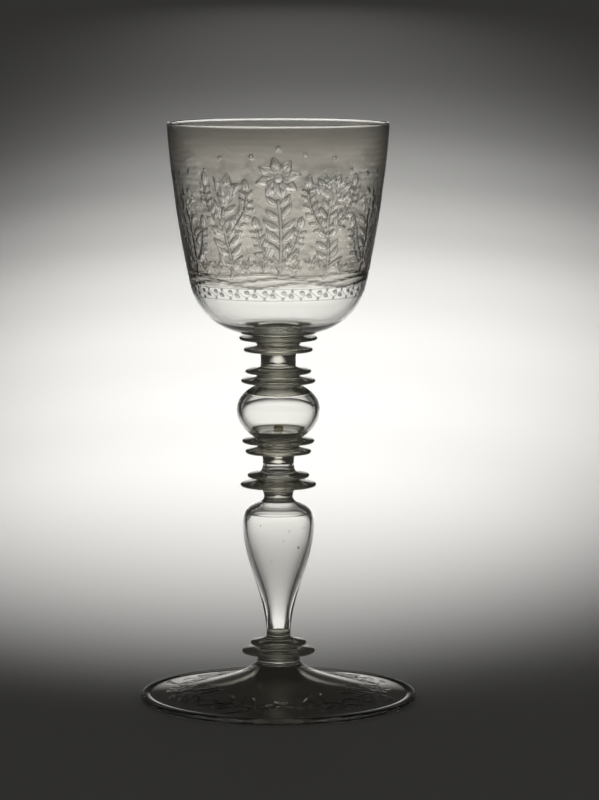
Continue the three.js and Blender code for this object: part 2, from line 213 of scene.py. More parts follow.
class GobletStage(bpy.types.PropertyGroup):
    """The camera and the studio light."""
    camera_distance: length("Camera distance", "From the axis to the lens", 1762)
    camera_height: length("Camera height", "Height of the lens above the floor", 350.8)
    pitch: tilt("Pitch", "How far the camera looks down", 6.534)
    yaw: tilt("Yaw", "How far the camera looks to the right", 0.339)
    lens: FloatProperty(
        name="Lens", description="Focal length on a sensor 36 mm high", default=162.06, min=20,
        unit="CAMERA",
    )
    room_light: amount("Room light", "Strength of the dim light from all sides", 0.033)
    pool_light: amount("Pool light", "Strength of the pool of light behind the goblet", 1)
    side_light: amount("Side light", "Strength of the pools at the other sides", 0.14)
    glow_light: amount("Glow", "Strength of the glow low over the floor behind the goblet", 0.8)
    side_glow: amount("Side glow", "Strength of the glow at the other sides", 0.1)


# Outlines

def along(controls, spacing):
    """Points along a Bezier curve, from after its start to its end. The spacing may follow the height."""
    t = np.linspace(0, 1, CURVE_SAMPLES)[:, None]
    points = np.array(controls, float)
    degree = len(points) - 1
    curve = sum(
        math.comb(degree, i) * (1 - t) ** (degree - i) * t ** i * points[i] for i in range(degree + 1)
    )
    widths = spacing(curve[1:, 1]) if callable(spacing) else spacing
    run = np.concatenate(([0], np.cumsum(np.hypot(*np.diff(curve, axis=0).T) / widths)))
    count = max(1, round(run[-1]))
    stops = np.linspace(0, run[-1], count + 1)[1:]
    return [(float(np.interp(s, run, curve[:, 0])), float(np.interp(s, run, curve[:, 1]))) for s in stops]


class Outline(list):
    """The outline of a turned shape, as points of radius and height."""

    def curve(self, *controls, step):
        """Goes on from its last point along a Bezier curve, with points a step apart."""
        self.extend(along([self[-1], *controls], step))


def arc(centre, radii, start, end, spacing):
    """Points on an ellipse arc between two angles, from after its start to its end."""
    count = max(3, round(abs(end - start) * max(radii) / spacing))
    angles = [start + (end - start) * i / count for i in range(1, count + 1)]
    return [(centre[0] + radii[0] * math.cos(a), centre[1] + radii[1] * math.sin(a)) for a in angles]


def inner_side(outline, wall, low, high):
    """The points of an outline that runs upwards, moved in by the wall's thickness, between two levels."""
    points = np.array(outline)
    run = np.gradient(points, axis=0)
    run /= np.hypot(*run.T)[:, None]
    moved = points + wall * np.stack((-run[:, 1], run[:, 0]), axis=1)
    return [(float(r), float(z)) for r, z in moved if low < z < high]


def vertex_values(piece, kind):
    """The places or the normals of a piece's vertices."""
    values = np.empty(len(piece.data.vertices) * 3)
    piece.data.vertices.foreach_get(kind, values)
    return values.reshape(-1, 3)


def node_rings(node):
    """Radius and height of each vertex of a CAD node."""
    places = vertex_values(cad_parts[node], "co")
    return np.hypot(places[:, 0], places[:, 1]), places[:, 2]


def level_radius(node, level):
    """The radius of a CAD node at one of its flat ends."""
    radii, heights = node_rings(node)
    return float(radii[np.abs(heights - level) < NEAR].max())


def widest_height(node):
    """The height at which a CAD node is widest."""
    radii, heights = node_rings(node)
    return float(heights[radii > radii.max() - NEAR].mean())


def ends(node):
    """The lowest and highest level of a CAD node, and its radius at each."""
    low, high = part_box(node)
    return low.z, high.z, level_radius(node, low.z), level_radius(node, high.z)


# Turning

def draw_outline(name, outline):
    """Draws an outline in edit mode, point by point, from one vertex."""
    bpy.ops.object.select_all(action="DESELECT")
    bpy.ops.mesh.primitive_plane_add(size=MM)
    piece = bpy.context.object
    piece.name = name
    piece.data.name = name
    bpy.ops.object.mode_set(mode="EDIT")
    bpy.ops.mesh.merge(type="CENTER")
    radius, height = outline[0]
    bpy.ops.transform.translate(value=(radius, 0, height))
    for next_radius, next_height in outline[1:]:
        bpy.ops.mesh.extrude_region_move(
            TRANSFORM_OT_translate={"value": (next_radius - radius, 0, next_height - height)},
        )
        radius, height = next_radius, next_height
    bpy.ops.object.mode_set(mode="OBJECT")
    return piece


def turned(name, outline, steps, void=False):
    """A closed shape turned from its outline. A void's faces point into the void, as those of glass do."""
    piece = draw_outline(name, outline)
    screw = piece.modifiers.new("Turned on the axis", "SCREW")
    screw.axis = "Z"
    screw.angle = TURN
    screw.steps = steps
    screw.render_steps = steps
    screw.use_merge_vertices = True
    screw.merge_threshold = WELD
    bpy.ops.object.modifier_apply(modifier=screw.name)
    bpy.ops.object.mode_set(mode="EDIT")
    bpy.ops.mesh.select_all(action="SELECT")
    bpy.ops.mesh.remove_doubles(threshold=WELD)
    bpy.ops.mesh.normals_make_consistent(inside=void)
    bpy.ops.object.mode_set(mode="OBJECT")
    return piece


def joined(piece, parts):
    """Joins voids and seeds to the piece that holds them."""
    bpy.ops.object.select_all(action="DESELECT")
    for part in parts:
        part.select_set(True)
    piece.select_set(True)
    bpy.context.view_layer.objects.active = piece
    bpy.ops.object.join()
    return piece


def hollow_piece(name, outline, void, steps=STEM_STEPS):
    """A turned piece round one turned void."""
    return joined(turned(name, outline, steps), [turned(name + "_void", void, steps, void=True)])


def seed(place, radius, stretch=1.0):
    """One small bubble in the glass, as a closed void."""
    bpy.ops.object.select_all(action="DESELECT")
    bpy.ops.mesh.primitive_uv_sphere_add(segments=SEED_STEPS, ring_count=SEED_STEPS // 2, radius=radius)
    bubble = bpy.context.object
    bpy.ops.object.mode_set(mode="EDIT")
    bpy.ops.mesh.select_all(action="SELECT")
    bpy.ops.transform.resize(value=(1, 1, stretch))
    bpy.ops.transform.translate(value=place)
    bpy.ops.mesh.normals_make_consistent(inside=True)
    bpy.ops.object.mode_set(mode="OBJECT")
    return bubble


def mark_seam(piece, level, radius):
    """Gives the second material to the flat faces where the piece was pressed hot to its neighbour."""
    faces = piece.data.polygons
    centres = np.empty(len(faces) * 3)
    faces.foreach_get("center", centres)
    centres = centres.reshape(-1, 3)
    index = np.empty(len(faces), np.int32)
    faces.foreach_get("material_index", index)
    within = np.hypot(centres[:, 0], centres[:, 1]) < radius
    index[within & (np.abs(centres[:, 2] - level) < NEAR)] = 1
    faces.foreach_set("material_index", index)


def finish_piece(piece, node, glass, seams):
    """Smooths a piece, gives it its glass and seams, hangs it on the root body, and hides its CAD node."""
    bpy.ops.object.select_all(action="DESELECT")
    piece.select_set(True)
    bpy.context.view_layer.objects.active = piece
    piece.data.materials.clear()
    piece.data.materials.append(glass)
    piece.data.materials.append(fused_seam())
    for level, radius in seams:
        mark_seam(piece, level, radius)
    bpy.ops.object.shade_smooth_by_angle(angle=SMOOTH_ANGLE)
    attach(piece, "root")
    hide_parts(node)


# Materials

GLASS_IOR = 1.5
# Cords in the melt lie about this far apart, and the tint is a little deeper in them.
CORD_GAP = 12 * MM
CORD_TINT = 0.985
RIPPLE_LENGTH = 9 * MM
RIPPLE_DEPTH = 0.004 * MM
# The share of a clear wall's mirror gloss that is kept, so that many walls in a row stay bright.
STEM_GLOSS = (0.5, 0.5, 0.5, 1)
BOWL_GLOSS = (0.6, 0.6, 0.6, 1)
MATT_ROUGHNESS = 0.19
# The broad wheel's strokes run round the bowl this far apart. The ground between them has a grain of about
# 0.2 mm, drawn coarser so that it shows.
STROKE_GAP = 1.5 * MM
GRAIN_SIZE = 0.5 * MM
GRAIN_DEPTH = 0.03 * MM
GRAIN_STRENGTH = 0.5
# Half the width of a cut line and of a leaf's vein: full inside the core, gone at the edge.
LINE_CORE = 0.1 * MM
LINE_EDGE = 0.34 * MM
VEIN_CORE = 0.06 * MM
VEIN_EDGE = 0.26 * MM
# How much darker the glass is in a cut line, in the wheel's strokes, at a slant, and just below the lip. The
# darkness in a cut line, at a slant and below the lip is painted shade, not a tint of the glass.
CUT_LINE_PAINTED_SHADE = 0.62
STROKE_SHADE = 0.08
SLANT_PAINTED_SHADE = 0.42
LIP_PAINTED_SHADE = 0.48
LIP_SHADE_FOOT = 264 * MM
LIP_SHADE_TOP = 283 * MM
STIPPLE_SIZE = 2 * MM
STIPPLE_TINT = 0.98
# The sockets of a node that mixes colours.
MIX_FACTOR = 0
MIX_FIRST = 6
MIX_SECOND = 7
MIX_COLOUR = 2


def add_node(tree, kind, values=None, links=None, **settings):
    """Adds one shader node with its settings, values and incoming links. A node that is given as the start
    of a link stands for its first output."""
    node = tree.nodes.new("ShaderNode" + kind)
    for name, value in settings.items():
        setattr(node, name, value)
    for socket, value in (values or {}).items():
        node.inputs[socket].default_value = value
    for socket, source in (links or {}).items():
        start = source.outputs[0] if isinstance(source, bpy.types.Node) else source
        tree.links.new(start, node.inputs[socket])
    return node


def empty_material(name):
    """A new material whose node tree is empty, and the tree."""
    material = bpy.data.materials.new(name)
    material.use_nodes = True
    material.node_tree.nodes.clear()
    return material, material.node_tree


def fused_seam():
    """The seam where two gathers were fused hot: inside the glass there is no surface to see."""
    made = bpy.data.materials.get("Fused seam")
    if made:
        return made
    material, tree = empty_material("Fused seam")
    shader = add_node(tree, "BsdfPrincipled", {"Alpha": 0.0})
    add_node(tree, "OutputMaterial", links={"Surface": shader})
    return material


def rippled_skin(tree, place):
    """The slow ripples that the blown skin keeps, a few micrometres deep."""
    waves = add_node(tree, "TexNoise", {"Scale": 1 / RIPPLE_LENGTH, "Detail": 1.0}, {"Vector": place})
    height = waves.outputs["Fac"]
    return add_node(tree, "Bump", {"Strength": 1.0, "Distance": RIPPLE_DEPTH}, {"Height": height})


def blown_glass(name, tint, thick):
    """Soda glass, blown and fire polished: clear where it is hollow, with a warm grey body where it is
    solid, and slow ripples in its skin."""
    made = bpy.data.materials.get(name)
    if made:
        return made
    material, tree = empty_material(name)
    place = add_node(tree, "TexCoord").outputs["Object"]
    cords = add_node(tree, "TexNoise", {"Scale": 1 / CORD_GAP, "Detail": 2.0}, {"Vector": place})
    deeper = [c * CORD_TINT for c in tint]
    melt = add_node(
        tree, "Mix", {MIX_FIRST: (*tint, 1), MIX_SECOND: (*deeper, 1)}, {MIX_FACTOR: cords.outputs["Fac"]},
        data_type="RGBA",
    ).outputs[MIX_COLOUR]
    solid = add_node(tree, "Attribute", attribute_name="solid").outputs["Fac"]
    body = add_node(
        tree, "Mix", {MIX_SECOND: (*thick, 1)}, {MIX_FACTOR: solid, MIX_FIRST: melt}, data_type="RGBA",
    ).outputs[MIX_COLOUR]
    shader = add_node(
        tree, "BsdfPrincipled",
        {"Roughness": 0.0, "IOR": GLASS_IOR, "Transmission Weight": 1.0, "Specular Tint": STEM_GLOSS},
        {"Base Color": body, "Normal": rippled_skin(tree, place)},
    )
    add_node(tree, "OutputMaterial", links={"Surface": shader})
    return material


def engraved_lines(tree):
    """How much of a cut line each point has: round each engraved shape, and down the middle of a leaf."""
    edges = add_node(tree, "Attribute", attribute_name="edges").outputs["Vector"]
    depths = add_node(tree, "SeparateXYZ", links={"Vector": edges}).outputs
    away = add_node(tree, "VectorMath", links={0: edges}, operation="ABSOLUTE")
    distances = add_node(tree, "SeparateXYZ", links={"Vector": away}).outputs
    nearest = distances["X"]
    deepest = depths["X"]
    for axis in ("Y", "Z"):
        nearest = add_node(tree, "Math", links={0: nearest, 1: distances[axis]}, operation="MINIMUM")
        deepest = add_node(tree, "Math", links={0: deepest, 1: depths[axis]}, operation="MAXIMUM")
    outline = add_node(
        tree, "MapRange", {"From Min": LINE_CORE, "From Max": LINE_EDGE, "To Min": 1.0, "To Max": 0.0},
        {"Value": nearest},
    )
    inside = add_node(tree, "MapRange", {"From Min": 0.0, "From Max": LINE_EDGE}, {"Value": deepest})
    side = add_node(tree, "Attribute", attribute_name="vein").outputs["Fac"]
    off_rib = add_node(tree, "Math", links={0: side}, operation="ABSOLUTE")
    rib = add_node(
        tree, "MapRange", {"From Min": VEIN_CORE, "From Max": VEIN_EDGE, "To Min": 1.0, "To Max": 0.0},
        {"Value": off_rib},
    )
    vein = add_node(tree, "Math", links={0: rib, 1: inside}, operation="MULTIPLY")
    return add_node(tree, "Math", links={0: outline, 1: vein}, operation="MAXIMUM")


def engraved_glass(name, tint, matt_tint):
    """Soda glass, blown and wheel engraved: clear where it is fire polished, a soft grey, like fine ground
    glass, where the broad wheel has been, and nearly black in the narrow cuts of the fine wheel. The
    ground's grey is partly painted shade, deeper below the lip and at a slant, and the black of the cuts is
    painted shade."""
    material, tree = empty_material(name)
    place = add_node(tree, "TexCoord").outputs["Object"]
    matt = add_node(tree, "Attribute", attribute_name="matt").outputs["Fac"]
    strokes = add_node(
        tree, "TexWave",
        {"Scale": 1 / (TURN * STROKE_GAP), "Distortion": 4.0, "Detail": 3.0, "Detail Scale": 0.4},
        {"Vector": place}, bands_direction="Z",
    ).outputs["Fac"]
    rough = add_node(tree, "MapRange", {"To Min": 0.75, "To Max": 1.1}, {"Value": strokes})
    ground = add_node(tree, "Math", links={0: matt, 1: rough}, operation="MULTIPLY")
    roughness = add_node(tree, "Math", {1: MATT_ROUGHNESS}, {0: ground}, operation="MULTIPLY")
    # Painted shade: the ground is painted darker just below the lip, and darker where it is seen at a slant.
    height = add_node(tree, "SeparateXYZ", links={"Vector": place}).outputs["Z"]
    lip_shade = add_node(
        tree, "MapRange", {"From Min": LIP_SHADE_FOOT, "From Max": LIP_SHADE_TOP, "To Max": LIP_PAINTED_SHADE},
        {"Value": height}, interpolation_type="SMOOTHSTEP",
    )
    facing = add_node(tree, "LayerWeight", {"Blend": 0.5}).outputs["Facing"]
    slant_shade = add_node(
        tree, "MapRange", {"From Min": 0.08, "From Max": 0.6, "To Max": SLANT_PAINTED_SHADE}, {"Value": facing},
        interpolation_type="SMOOTHSTEP",
    )
    # The painted shade below the lip and at a slant, whichever is deeper.
    darker = add_node(tree, "Math", links={0: lip_shade, 1: slant_shade}, operation="MAXIMUM")
    strokes_and_painted_shade = add_node(tree, "Math", {1: STROKE_SHADE}, {0: strokes, 2: darker}, operation="MULTIPLY_ADD")
    ground_shade = add_node(tree, "Math", links={0: strokes_and_painted_shade, 1: matt}, operation="MULTIPLY")
    # Painted shade: the cut lines are painted nearly black over the ground's painted shade.
    all_shade = add_node(
        tree, "Math", {1: CUT_LINE_PAINTED_SHADE}, {0: engraved_lines(tree), 2: ground_shade}, operation="MULTIPLY_ADD",
    )
    light = add_node(tree, "Math", {0: 1.0}, {1: all_shade}, operation="SUBTRACT", use_clamp=True)
    colour = add_node(
        tree, "Mix", {MIX_FIRST: (*tint, 1), MIX_SECOND: (*matt_tint, 1)}, {MIX_FACTOR: matt},
        data_type="RGBA",
    ).outputs[MIX_COLOUR]
    body = add_node(tree, "VectorMath", links={0: colour, "Scale": light}, operation="SCALE")
    grain = add_node(tree, "TexNoise", {"Scale": 1 / GRAIN_SIZE, "Detail": 2.0}, {"Vector": place})
    bite = add_node(tree, "Math", {1: GRAIN_STRENGTH}, {0: matt}, operation="MULTIPLY")
    tooth = add_node(
        tree, "Bump", {"Distance": GRAIN_DEPTH},
        {"Strength": bite, "Height": grain.outputs["Fac"], "Normal": rippled_skin(tree, place)},
    )
    shader = add_node(
        tree, "BsdfPrincipled",
        {"IOR": GLASS_IOR, "Transmission Weight": 1.0, "Specular Tint": BOWL_GLOSS},
        {"Base Color": body, "Roughness": roughness, "Normal": tooth},
    )
    add_node(tree, "OutputMaterial", links={"Surface": shader})
    return material


def painted_floor(colour):
    """Matt emulsion rolled on a studio floor: an even pale tone with the faint stipple of a roller."""
    material, tree = empty_material("Rolled matt emulsion")
    place = add_node(tree, "TexCoord").outputs["Object"]
    stipple = add_node(tree, "TexNoise", {"Scale": 1 / STIPPLE_SIZE, "Detail": 1.0}, {"Vector": place})
    darker = [c * STIPPLE_TINT for c in colour]
    tone = add_node(
        tree, "Mix", {MIX_FIRST: (*colour, 1), MIX_SECOND: (*darker, 1)},
        {MIX_FACTOR: stipple.outputs["Fac"]}, data_type="RGBA",
    ).outputs[MIX_COLOUR]
    finish = {"Roughness": 0.9, "Specular IOR Level": 0.2}
    shader = add_node(tree, "BsdfPrincipled", finish, {"Base Color": tone})
    add_node(tree, "OutputMaterial", links={"Surface": shader})
    return material


# Engraving

# A point that is far from every engraved shape is this far outside.
OUTSIDE = -2 * MM
# Shapes that overlap are kept on different layers, so that each keeps its own outline.
LAYERS = 3
STEM_LAYER = 2
# How early a leaf is widest, how much of its midrib stands, and how wide that rib is.
LEAF_FULLNESS = 0.85
RIB_HEIGHT = 0.6
RIB_WIDTH = 0.45 * MM
# A stem's points are this far apart.
STEM_SPACING = 1.2 * MM
# Petals of a tulip from the back to the front: turn, length and width as shares of its size, and layer.
TULIP_PETALS = (
    (-0.5, 0.9, 0.42, 0), (0.5, 0.9, 0.42, 1), (0, 1.0, 0.46, 2), (-0.3, 0.8, 0.36, 1), (0.3, 0.8, 0.36, 0),
)
# Rows of a carnation's petals from the back to the front: length as a share of its size, and number.
CARNATION_ROWS = ((1.0, 9), (0.78, 6), (0.56, 4))
FLOWER_PANELS = 3
FLOWER_PANEL_WIDTH = 103 * MM
# The ground under the flowers: a few wavy lines.
GROUND_LINES = 3
GROUND_POINTS = 52
GROUND_HEIGHT = 1.6
GROUND_STEP = 2.4 * MM
BORDER_REPEATS = 30
BORDER_STEP = 9.2 * MM
BORDER_WAVE = 1.2 * MM
WREATH_REPEATS = 4
WREATH_RADIUS = 48 * MM


class Patch:
    """A strip of the glass laid flat: where its points lie across and up, how deep each is cut, how matt it
    is, how far it lies inside a shape on each layer, and how far it lies beside its leaf's midrib."""

    def __init__(self, across, up, matt):
        self.across = across
        self.up = up
        self.cut = np.zeros(len(across))
        self.matt = np.full(len(across), matt)
        self.edges = np.full((len(across), LAYERS), OUTSIDE)
        self.vein = np.full(len(across), -OUTSIDE)

    def near(self, points, margin):
        """The points of the patch inside a box round some points."""
        low = np.min(points, axis=0) - margin
        high = np.max(points, axis=0) + margin
        return np.nonzero(
            (self.across > low[0]) & (self.across < high[0]) & (self.up > low[1]) & (self.up < high[1])
        )[0]

    def stamp(self, near, inward, layer, cut, matt, vein=None):
        """Engraves a shape on its layer, over all that is there. Inward is how far inside it a point is."""
        for other in range(LAYERS):
            if other != layer:
                self.edges[near, other] = np.minimum(self.edges[near, other], -inward)
        free = self.edges[near].max(axis=1) <= 0
        self.edges[near, layer] = np.maximum(self.edges[near, layer], inward)
        np.clip(self.edges, OUTSIDE, -OUTSIDE, out=self.edges)
        inside = inward > 0
        self.vein[near[inside]] = -OUTSIDE if vein is None else vein[inside]
        if vein is not None:
            beside = free & ~inside & (inward > OUTSIDE / 2)
            self.vein[near[beside]] = vein[beside]
        self.cut[near[inside]] = cut[inside]
        self.matt[near[inside]] = matt


def cut_line(patch, points, width, layer=STEM_LAYER, matt=0.8):
    """Cuts a groove along a line of points."""
    near = patch.near(points, width - OUTSIDE)
    if not len(near):
        return
    place = np.stack((patch.across[near], patch.up[near]), axis=1)
    distance = np.full(len(near), 1.0)
    for start, end in zip(points[:-1], points[1:]):
        start = np.array(start)
        run = np.array(end) - start
        share = np.clip(((place - start) @ run) / max(run @ run, WELD ** 2), 0, 1)
        distance = np.minimum(distance, np.hypot(*(place - start - share[:, None] * run).T))
    patch.stamp(near, width / 2 - distance, layer, np.clip(1 - (2 * distance / width) ** 2, 0, 1), matt)


def cut_leaf(patch, foot, tip, width, bend=0.0, layer=0, matt=0.4):
    """Cuts a pointed leaf or petal, hollowed to both sides of its midrib."""
    foot = np.array(foot)
    run = np.array(tip) - foot
    size = math.hypot(*run)
    near = patch.near([foot, tip], width + abs(bend) - OUTSIDE)
    if not len(near):
        return
    place = np.stack((patch.across[near], patch.up[near]), axis=1) - foot
    share = (place @ run) / size ** 2
    within = np.clip(share, 0, 1)
    side = place @ np.array((-run[1], run[0])) / size - bend * 4 * within * (1 - within)
    half = width / 2 * np.sin(math.pi * within ** LEAF_FULLNESS)
    slope = math.pi * width / (2 * size) * np.cos(math.pi * within)
    beyond = (share - within) * size
    inward = np.where(beyond == 0, (half - np.abs(side)) / np.sqrt(1 + slope ** 2), -np.hypot(side, beyond))
    profile = np.clip(1 - (side / np.maximum(half, WELD)) ** 2, 0, 1)
    rib = 1 - RIB_HEIGHT * np.exp(-(side / RIB_WIDTH) ** 2)
    patch.stamp(near, inward, layer, profile * rib, matt, side)


def dot(patch, place, radius, layer=1, matt=0.2):
    """Engraves a round hollow."""
    near = patch.near([place], radius - OUTSIDE)
    away = np.hypot(patch.across[near] - place[0], patch.up[near] - place[1])
    patch.stamp(near, radius - away, layer, np.clip(1 - (away / radius) ** 2, 0, 1), matt)


def point_at(place, angle, distance):
    """The point at a distance and an angle from a place."""
    return (place[0] + distance * math.cos(angle), place[1] + distance * math.sin(angle))


def mm(*values):
    """Millimetres as metres, two by two."""
    return [(values[i] * MM, values[i + 1] * MM) for i in range(0, len(values), 2)]


def leafy_stem(patch, controls, leaf_size, gap, width, draw, slim=0.4):
    """Engraves a curved stem with leaves on both sides, and returns its end and its last direction."""
    path = [controls[0], *along(controls, STEM_SPACING)]
    cut_line(patch, path, width)
    count = max(2, int(len(path) * STEM_SPACING / gap))
    for i in range(1, count + 1):
        at = min(len(path) - 2, round(i * (len(path) - 1) / (count + 0.5)))
        ahead = math.atan2(path[at + 1][1] - path[at][1], path[at + 1][0] - path[at][0])
        for layer, side in enumerate((1, -1)):
            size = leaf_size * draw.uniform(0.8, 1.1) * (1 - 0.35 * i / count)
            angle = ahead + side * math.radians(draw.uniform(38, 58))
            foot = point_at(path[at], angle, width / 2)
            tip = point_at(foot, angle, size)
            matt = draw.uniform(0.2, 0.75)
            cut_leaf(patch, foot, tip, size * slim, side * size * 0.1, (layer + i) % 2, matt)
    last = path[-1]
    return last, math.atan2(last[1] - path[-2][1], last[0] - path[-2][0])


def tulip(patch, place, angle, size):
    """Engraves a tulip head of five petals."""
    for turn, reach, width, layer in TULIP_PETALS:
        tip = point_at(place, angle + turn, size * reach)
        cut_leaf(patch, place, tip, size * width, -turn * size * 0.3, layer, 0.25 + 0.2 * layer)


def carnation(patch, place, angle, size):
    """Engraves a carnation: a calyx under three rows of petals."""
    for row, (reach, count) in enumerate(CARNATION_ROWS):
        for i in range(count):
            turn = (i / (count - 1) - 0.5) * (2.2 - 0.3 * row)
            foot = point_at(place, angle + turn * 0.5, size * 0.22)
            tip = point_at(place, angle + turn, size * reach)
            cut_leaf(patch, foot, tip, size * 0.3, 0.0, (i + row) % LAYERS, 0.2 + 0.25 * row)
    calyx_foot = point_at(place, angle, -size * 0.12)
    cut_leaf(patch, calyx_foot, point_at(place, angle, size * 0.48), size * 0.28, layer=2)


def rose(patch, place, size, count):
    """Engraves an open flower: two rings of petals round a dot."""
    for ring, (reach, turn) in enumerate(((1.0, 0.2), (0.66, 0.2 + math.pi / count))):
        for i in range(count):
            angle = TURN * i / count + turn
            foot = point_at(place, angle, size * 0.12)
            tip = point_at(place, angle, size * reach)
            cut_leaf(patch, foot, tip, size * reach * 0.5, 0.0, (i + ring) % 2, 0.25 + 0.3 * ring)
    dot(patch, place, size * 0.2, STEM_LAYER)


def sprig(patch, controls, leaf_size, draw):
    """Engraves a small sprig with a bud at its end."""
    end, angle = leafy_stem(patch, controls, leaf_size, leaf_size * 0.7, 1.0 * MM, draw, 0.45)
    cut_leaf(patch, end, point_at(end, angle, leaf_size * 1.1), leaf_size * 0.6, 0.0, 2, 0.3)


def grass(patch, place, size, draw):
    """Engraves a tuft of grass blades."""
    for layer, turn in enumerate((-0.7, -0.25, 0.2, 0.65)):
        tip = point_at(place, math.pi / 2 + turn, size * draw.uniform(0.7, 1.1))
        cut_leaf(patch, place, tip, 1.6 * MM, -turn * MM, layer % LAYERS, 0.5)


def engrave_flowers(patch):
    """One panel of the bowl: roses, a tulip and a carnation on leafy stems over wavy ground with grass."""
    draw = random.Random(11)
    half = FLOWER_PANEL_WIDTH / 2
    for row in range(GROUND_LINES):
        ground = []
        for share in np.linspace(-0.51, 0.51, GROUND_POINTS):
            wave = math.sin(TURN * (2 * share + 0.21 * row)) * (1.4 - 0.25 * row)
            ground.append((share * FLOWER_PANEL_WIDTH, (GROUND_HEIGHT + wave) * MM + row * GROUND_STEP))
        cut_line(patch, ground, 0.8 * MM, row % LAYERS, 0.9)
    # A bush with a small rose stands at the panel's edges, and a tall rose in its middle.
    for x, height, petals, size in ((-half, 34, 7, 7.5), (half, 34, 7, 7.5), (0, 43, 8, 10.5)):
        foot = (x, 6 * MM)
        bend = (x + 3 * MM, height / 2 * MM)
        end, _ = leafy_stem(patch, [foot, bend, (x, height * MM)], 11.5 * MM, 6.2 * MM, 1.5 * MM, draw)
        rose(patch, (end[0], end[1] + size * MM), size * MM, petals)
        for side in (-1, 1):
            reach = [(x + side * across, up) for across, up in mm(1.5, 12, 9, 17, 10.5, 29)]
            sprig(patch, reach, 6 * MM, draw)
    # The tulip stands left of the middle, and the carnation right of it on a thinner stem.
    end, angle = leafy_stem(patch, mm(-26, 5, -22, 16, -30, 26, -27, 39), 11 * MM, 5.6 * MM, 1.5 * MM, draw)
    tulip(patch, end, angle, 17.5 * MM)
    end, angle = leafy_stem(patch, mm(25, 5, 30, 16, 22, 28, 26, 41), 9.5 * MM, 5.0 * MM, 1.3 * MM, draw)
    carnation(patch, end, angle, 15 * MM)
    for controls in (
        mm(-27, 27, -34, 34, -38, 40, -37, 50), mm(-25, 25, -19, 33, -14, 37, -15, 47),
        mm(27, 27, 33, 33, 39, 39, 39, 49), mm(25, 25, 18, 33, 14, 39, 14, 49),
    ):
        sprig(patch, controls, 6 * MM, draw)
    for share in np.linspace(-0.5, 0.42, 12):
        grass(patch, (share * FLOWER_PANEL_WIDTH, draw.uniform(6, 8.5) * MM), 8 * MM, draw)
    for x, y in mm(-27, 63, -36, 57, 26, 63, 36, 57, -12, 64, 12, 65, 0, 68, 47, 55, -47, 56):
        dot(patch, (x, y), 0.9 * MM)


def engrave_border(patch, foot, top):
    """One repeat of the border between its two cut lines: a running wave with a leaf in each hollow."""
    middle = (foot + top) / 2
    wave = middle + BORDER_WAVE * np.sin(TURN * patch.across / BORDER_STEP)
    band = np.minimum(patch.up - foot, top - patch.up)
    patch.edges[:, 2] = np.clip(band, OUTSIDE, -OUTSIDE)
    patch.edges[:, 0] = np.clip(np.minimum(patch.up - wave, top - patch.up), OUTSIDE, -OUTSIDE)
    for side in (-1, 1):
        leaf_foot = (side * BORDER_STEP * 0.06, middle - side * 0.4 * MM)
        tip = (side * BORDER_STEP * 0.36, middle - side * 1.2 * MM)
        cut_leaf(patch, leaf_foot, tip, 1.7 * MM, side * 0.3 * MM, 1, 1.0)
        dot(patch, (side * BORDER_STEP * 0.25, middle + side * 2.0 * MM), 0.5 * MM, 1, 1.0)


def engrave_wreath(patch):
    """One repeat of the foot's wreath: two branches of long slender leaves that meet at a flower."""
    draw = random.Random(5)
    for side in (-1, 1):
        controls = [
            (side * 5 * MM, WREATH_RADIUS), (side * 14 * MM, WREATH_RADIUS + 9 * MM),
            (side * 22 * MM, WREATH_RADIUS - 10 * MM), (side * 33 * MM, WREATH_RADIUS + 3 * MM),
        ]
        end, angle = leafy_stem(patch, controls, 17 * MM, 6.6 * MM, 1.1 * MM, draw, 0.2)
        cut_leaf(patch, end, point_at(end, angle, 14 * MM), 2.8 * MM)
    rose(patch, (0, WREATH_RADIUS), 7.5 * MM, 6)


def lay_flat(places, radius, repeats, turn, up):
    """Unrolls points round the axis into a strip that repeats, measured from the middle of a repeat."""
    angles = np.arctan2(places[:, 1], places[:, 0]) + turn
    share = (angles * repeats / TURN) % 1 - 0.5
    return share * TURN * radius / repeats, up


def write_attribute(piece, name, values, kind="FLOAT", field="value"):
    """Writes an attribute of the piece's vertices for its material to read."""
    attribute = piece.data.attributes.new(name, kind, "POINT")
    attribute.data.foreach_set(field, np.asarray(values, np.float32).ravel())


def engrave(piece, chosen, patches, depth, background):
    """Sinks the cut parts of some patches into a piece, and writes what its material reads at each point."""
    matt = np.zeros(len(piece.data.vertices), np.float32)
    vein = np.full(len(matt), -OUTSIDE, np.float32)
    edges = np.full((len(matt), LAYERS), OUTSIDE, np.float32)
    matt[chosen] = background
    group = piece.vertex_groups.new(name="engraving")
    for rows, patch in patches:
        matt[rows] = patch.matt
        vein[rows] = patch.vein
        edges[rows] = patch.edges
        for row, cut in zip(rows, patch.cut):
            if cut > 0:
                group.add([int(row)], float(min(1, cut)), "REPLACE")
    write_attribute(piece, "matt", matt)
    write_attribute(piece, "vein", vein)
    write_attribute(piece, "edges", edges, "FLOAT_VECTOR", "vector")
    bpy.context.view_layer.objects.active = piece
    sink = piece.modifiers.new("Wheel engraving", "DISPLACE")
    sink.direction = "NORMAL"
    sink.vertex_group = group.name
    sink.strength = -depth
    sink.mid_level = 0
    bpy.ops.object.modifier_apply(modifier=sink.name)


# The pieces

FOOT_SEEDS = 17
# The folded edge of the foot is drawn in this much below its fold and above it.
HEM_UNDERSIDE = 0.6 * MM
HEM_CREST = 0.9 * MM
# Seeds of the baluster: angle from the front in degrees, height in millimetres, and size.
BALUSTER_SEEDS = (
    (-31, 88.5, 1.0), (18, 86.0, 1.0), (44, 87.0, 0.7), (-62, 80.5, 1.2), (38, 77.5, 1.8),
    (-14, 71.0, 0.8), (9, 64.0, 0.7), (120, 84.0, 1.2), (170, 76.0, 1.0), (-120, 70.0, 1.1),
)
SEED_STRETCH = 1.4
